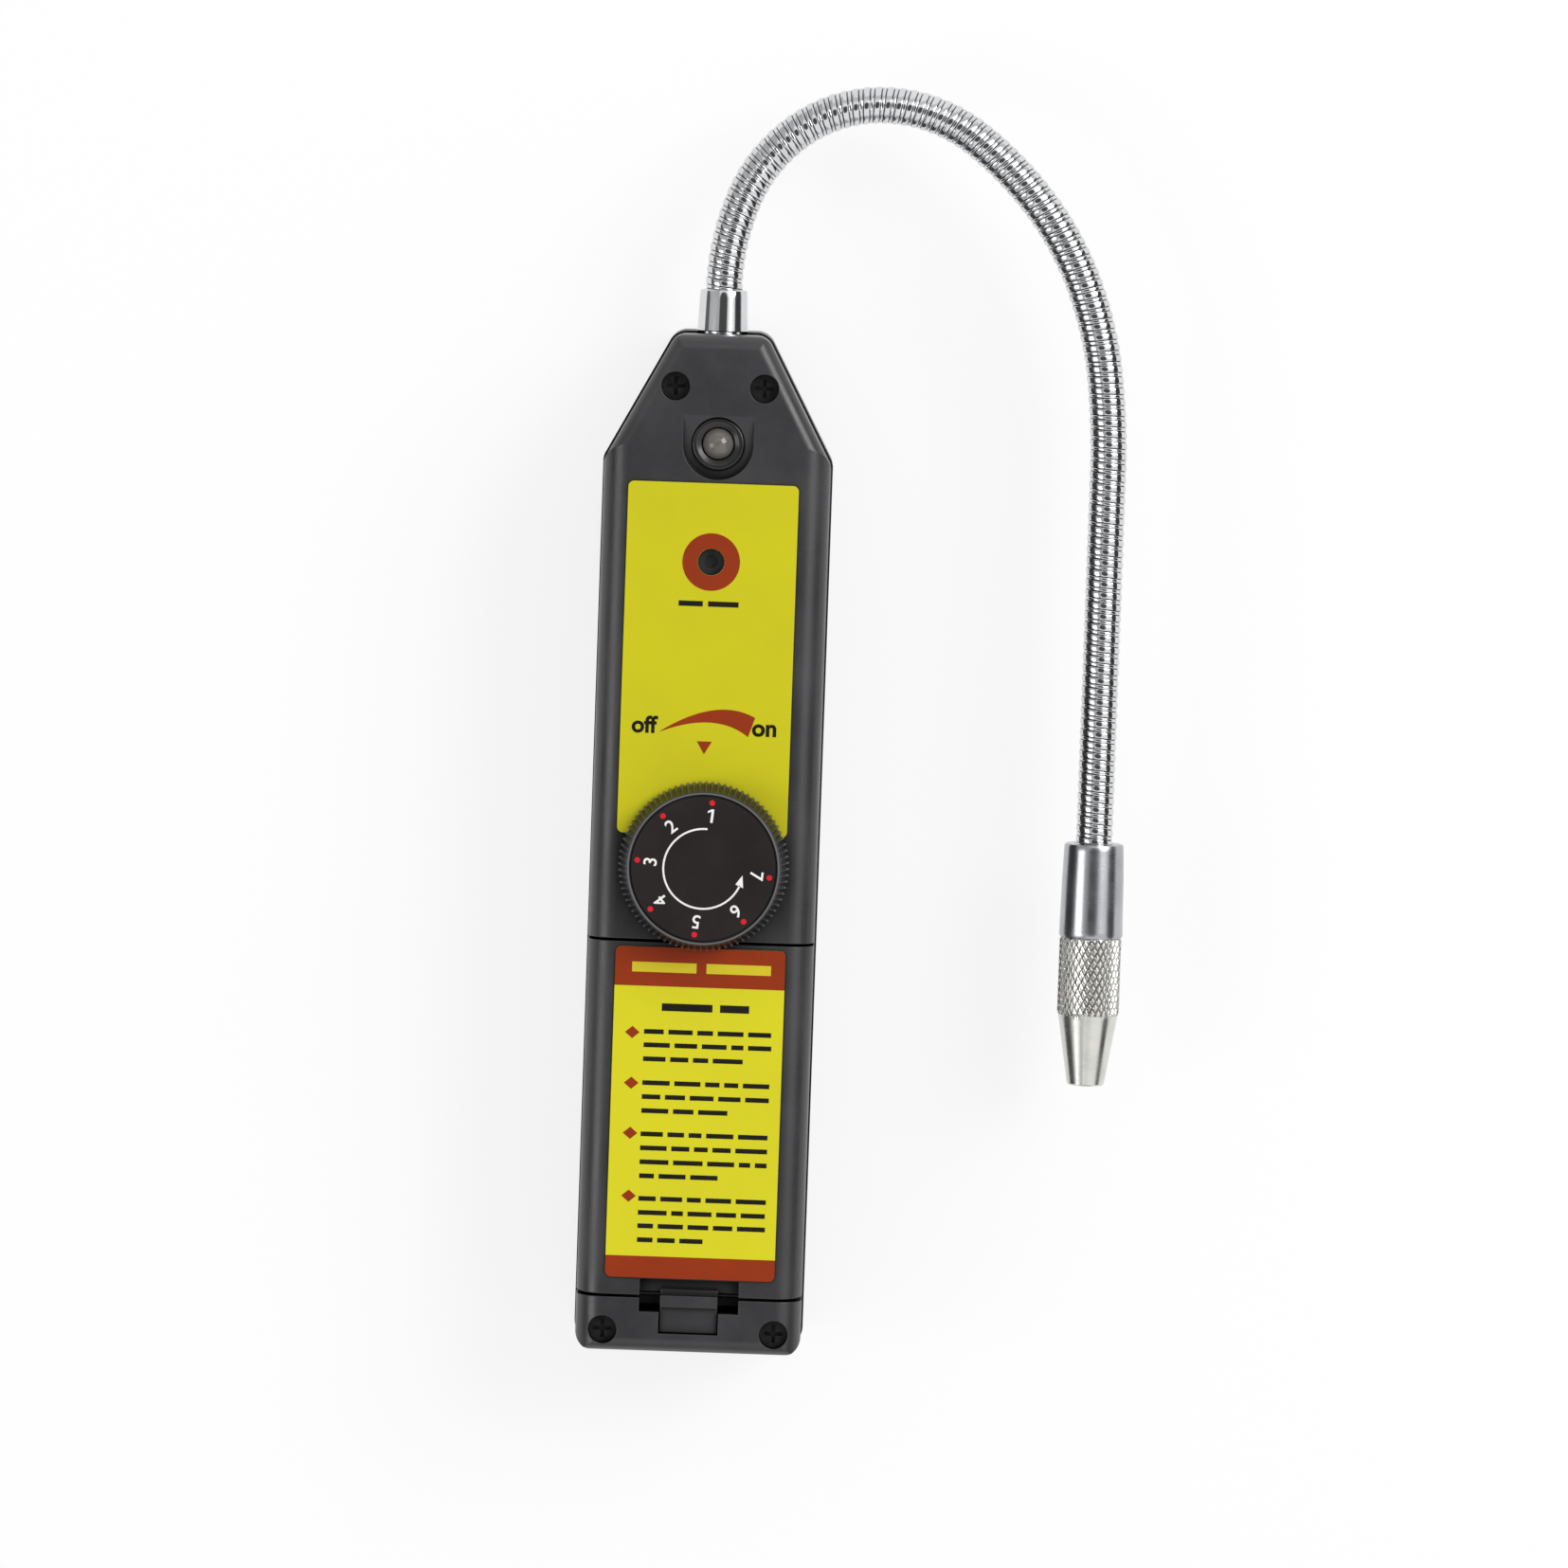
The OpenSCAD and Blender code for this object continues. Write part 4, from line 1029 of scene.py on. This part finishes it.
@dataclass
class Gooseneck:
    """Chromed flexible neck: two crowns wound as a screw round a middle line of arcs."""

    bends: tuple[float, ...] = (21, 34, 37.5, 34, 15, 17, 14, 7.5, 0, 0, 0, 0)
    link: float = 16.0
    base: tuple[float, float, float] = (0.0, 94.7, 19.0)
    pitch: float = 1.85
    core_r: float = 2.88
    crown: float = 0.32
    small_crown: float = 0.2
    share: float = 0.625
    dome: float = 0.15
    small_dome: float = 0.2
    soil_share: float = 0.5
    bend_reach: float = 5.0
    tuck: float = 1.6
    collar_l: float = 7.2
    cols: int = 48
    rows_per_turn: int = 16

    def marks(self) -> np.ndarray:
        """Distances along the neck at which links begin and end."""
        return self.link * np.arange(len(self.bends) + 1)

    def heading(self, s: np.ndarray) -> np.ndarray:
        """Clockwise turn from the housing's length at distances along the neck, in radians."""
        return np.radians(np.interp(s, self.marks(), np.cumsum([0, *self.bends])))

    def middle(self, s: np.ndarray) -> np.ndarray:
        """Middle line: chains the chords of whole links, then the chord into the link reached.

        The chord of an arc that turns by b over length l is l * sinc(b / 2) long and points half
        way between the headings at its ends.

        Args:
            s: Distances along the neck; past either end the line runs straight on.

        Returns:
            Points of shape (..., 3).
        """
        turns = self.heading(self.marks())
        half = (turns[1:] - turns[:-1]) / 2
        way = turns[:-1] + half
        chords = self.link * np.sinc(half / np.pi)[:, None] * np.stack([np.sin(way), np.cos(way)], axis=1)
        starts = np.concatenate([[self.base[:2]], self.base[:2] + np.cumsum(chords, axis=0)])
        k = np.clip(np.floor(s / self.link).astype(int), 0, len(self.bends))
        rest, turn = s - self.link * k, self.heading(s) - turns[k]
        reach = rest * np.sinc(turn / (2 * np.pi))
        way = turns[k] + turn / 2
        flat = starts[k] + reach[..., None] * np.stack([np.sin(way), np.cos(way)], axis=-1)
        return np.concatenate([flat, np.full(flat.shape[:-1] + (1,), self.base[2])], axis=-1)

    def radius(self, phase: np.ndarray) -> np.ndarray:
        """Radius over one turn: a wide, gently domed crown, then a narrow lower one.

        Each crown is one minus the square of the distance from its middle, raised to a small
        power, so that its top is nearly flat and a thin seam stays on either side.

        Args:
            phase: Share of a turn that has passed, from 0 to 1.

        Returns:
            Radii.
        """
        wide = np.clip(1 - (2 * phase / self.share - 1) ** 2, 0, None) ** self.dome
        slim = np.clip(1 - (2 * (phase - self.share) / (1 - self.share) - 1) ** 2, 0, None) ** self.small_dome
        return self.core_r + np.where(phase < self.share, self.crown * wide, self.small_crown * slim)

    def stretch(self, low: float, high: float) -> tuple[Shape, np.ndarray]:
        """Wound skin between two distances, whose grid follows the winding.

        Row i, column j lies at s = row distance + pitch * turn / 2 pi, clipped to the stretch, so
        that a groove runs along a row; the last column joins the first one turn further on.

        Args:
            low: Start along the neck.
            high: End along the neck.

        Returns:
            Closed shape, and the painted shade that grows towards the bottom of the grooves.
        """
        count = math.ceil((high - low) / self.pitch * self.rows_per_turn)
        step = self.pitch / self.rows_per_turn
        turn = np.linspace(0, 2 * np.pi, self.cols, endpoint=False)
        first = math.floor(low / step) * step - self.pitch
        lead = first + step * np.arange(count + self.rows_per_turn + 3)
        wind = self.pitch * turn / (2 * np.pi)
        s = np.clip(lead[:, None] + wind, low, high)
        radius = self.radius(((s - wind) / self.pitch) % 1.0)
        way = self.heading(s)
        side = np.stack([np.cos(way), -np.sin(way), np.zeros_like(way)], axis=-1)
        out = np.cos(turn)[:, None] * side + np.sin(turn)[:, None] * UP
        points = self.middle(s) + radius[..., None] * out
        # Painted shade, darkest at the bottom of the grooves.
        soil = np.clip(1 - (radius - self.core_r) / (self.soil_share * self.crown), 0, 1)
        return loft(points, shift=self.rows_per_turn), soil

    def build(self) -> list[bpy.types.Object]:
        """Makes the collar and the neck in stretches from the middle of one link to the next.

        Returns:
            The pieces.
        """
        count = len(self.bends)
        end = self.link * count
        marks = np.clip(self.link * (np.arange(count + 2) - 0.5), -self.tuck, end + self.tuck)
        pieces = [self.collar()]
        for k in range(count + 1):
            shape, soil = self.stretch(marks[k], marks[k + 1])
            body = {0: "housing", count: "tip"}.get(k, "")
            replaced = (f"neck_link_{k + 1}",) if k < count else ()
            piece = make_piece(f"neck_turns_{k}", shape, CHROME, body, replaced, 50.0, soil)
            if not body:
                reach = np.array([-self.bend_reach, self.bend_reach])
                start, stop = self.middle(self.link * k + reach) * MM
                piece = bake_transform(piece)
            pieces.append(piece)
        return pieces + PLATED_STEEL.dress("neck_nut")

    def collar(self) -> bpy.types.Object:
        """Tapered collar with a rounded lip, a bore for the neck and a spigot in the housing.

        Returns:
            The piece.
        """
        # Radius and height, from the spigot's end over the lip into the bore
        profile = [(0, -5.2), (3.45, -5.2), (3.45, 0), (4.2, 0), (4.35, 0.15), (4.07, 6.75), (4.0, 7.0),
                   (3.8, 7.15), (3.6, self.collar_l), (3.42, 7.05), (3.38, 6.8), (3.38, 4.8), (0, 4.8)]
        start = np.array(self.base) - (0, self.collar_l, 0)
        shape = turned(finer(profile, 1.2), 112, start, AHEAD)
        return make_piece("neck_collar_turned", shape, CHROME, "housing", ("neck_collar",))


@dataclass
class SensorTip:
    """Turned holder and knurled cap at the neck's free end, along the tip's axis."""

    holder_l: float = 16.2
    knurl_l: float = 13.4
    cone_l: float = 12.2
    knurl_r: float = 5.35
    depth: float = 0.24
    groove_w: float = 0.26
    edge: float = 0.12
    diamonds: int = 30
    diamond_l: float = 2.15
    per_diamond: int = 12

    def build(self) -> list[bpy.types.Object]:
        """Makes the holder and the cap and dresses the sensing element.

        Returns:
            The pieces.
        """
        return [self.holder(), self.cap(), *ALUMINA.dress("sensor_element")]

    def start(self) -> np.ndarray:
        """End of the neck, from which the tip runs back beside the housing."""
        neck = Gooseneck()
        return neck.middle(neck.marks()[-1:])[0]

    def holder(self) -> bpy.types.Object:
        """Smooth holder, slightly barrelled, with a bore for the neck and a spigot for the cap.

        Returns:
            The piece.
        """
        end = self.holder_l
        t = np.linspace(0.03, 0.97, 24)
        barrel = np.stack([5.1 + 0.4 * t + 0.1 * np.sin(np.pi * t) ** 2 * (1 - t), end * t], axis=1)
        mouth = [(0, 1.9), (3.4, 1.9), (3.4, 0.2), (3.6, 0), (4.75, 0), (5.0, 0.12)]
        spigot = [(5.36, end - 0.1), (5.2, end), (4.2, end), (4.2, end + 4), (2.85, end + 4), (2.85, end - 1),
                  (0, end - 1)]
        shape = turned(np.concatenate([mouth, barrel, spigot]), 128, self.start(), -AHEAD)
        return make_piece("tip_holder", shape, BRIGHT_NICKEL, "tip", ("sensor_holder",))

    def cap(self) -> bpy.types.Object:
        """Cap with a diamond knurl, a cone and an inlet.

        Two sets of grooves wind left and right; at turn a and height h their phases are
        n a / 2 pi plus and minus h / diamond length, and the knurl's height is the smaller of
        the two distances from a groove, flattened at the top. Painted shade lies in the deeper part.

        Returns:
            The piece.
        """
        low = self.holder_l
        high = low + self.knurl_l
        end = high + self.cone_l
        count = round(self.knurl_l / self.diamond_l * 2 * self.per_diamond)
        band = np.linspace(low + self.edge, high - self.edge, count)
        knurl = np.stack([np.full_like(band, self.knurl_r), band], axis=1)
        taper = finer([(5.15, high), (3.2, end - 0.25), (3.0, end)], 0.8)
        inside = [(1.8, end), (1.8, end - 1.35), (3.6, high), (3.6, low + 4.1), (4.25, low + 4.1),
                  (4.25, low)]
        profile = np.concatenate([[(self.knurl_r - self.depth, low)], knurl, taper, np.array(inside)])
        cols = self.diamonds * self.per_diamond
        turn = self.diamonds * np.linspace(0, 1, cols, endpoint=False)[None, :]
        rise = ((profile[:, 1] - low) / self.diamond_l)[:, None]
        groove = np.minimum(np.abs(((turn + rise) % 1) - 0.5), np.abs(((turn - rise) % 1) - 0.5))
        cut = self.depth * (1 - np.minimum(groove / self.groove_w, 1))
        fade = np.interp(profile[:, 1], [low + 0.1, low + 0.5, high - 0.5, high - 0.1],
                         [1.0, 0.0, 0.0, 1.0])[:, None]
        on_band = ((profile[:, 0] == self.knurl_r) * 1.0)[:, None]
        relief = on_band * np.maximum(cut, self.depth * fade * 0.6)
        shape = turned(profile, cols, self.start(), -AHEAD, relief, ring=True)
        # Painted shade in the deeper part of the knurl's grooves.
        soil = np.clip(1.6 * relief / self.depth - 0.6, 0, 1)
        return make_piece("tip_cap_knurled", shape, NICKEL, "tip", ("tip_cap",), 24.0, soil)


@dataclass
class Workings:
    """What sits inside the housing, as the CAD has it."""

    def build(self) -> list[bpy.types.Object]:
        """Dresses the control, board, sounder, cells and contacts.

        Returns:
            The dressed objects.
        """
        steel = PLATED_STEEL.dress("potentiometer", "pot_shaft", "pot_nut", "board_screws", "contact_bridge",
                                   "contact_tabs", "contact_springs")
        board = LAMINATE.dress("main_board") + WINDING.dress("transformer") + BLUE_SLEEVE.dress("capacitor")
        cells = CELL_SLEEVE.dress("battery_cell_left", "battery_cell_right")
        return steel + board + PHENOLIC.dress("buzzer") + cells


def main() -> None:
    """Builds the studio and every sub-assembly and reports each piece."""
    logging.basicConfig(level=logging.INFO, format="%(name)s: %(message)s")
    bpy.context.scene.view_settings.view_transform = "Standard"
    Studio().build()
    assemblies = (
        Housing(), UpperLabel(), CoverLabel(), Dial(), Lamp(), Gooseneck(), SensorTip(), Workings())
    for assembly in assemblies:
        for piece in assembly.build():
            LOG.info("%s: %s, %d faces", type(assembly).__name__, piece.name, len(piece.data.polygons))


if __name__ == "__main__":
    main()
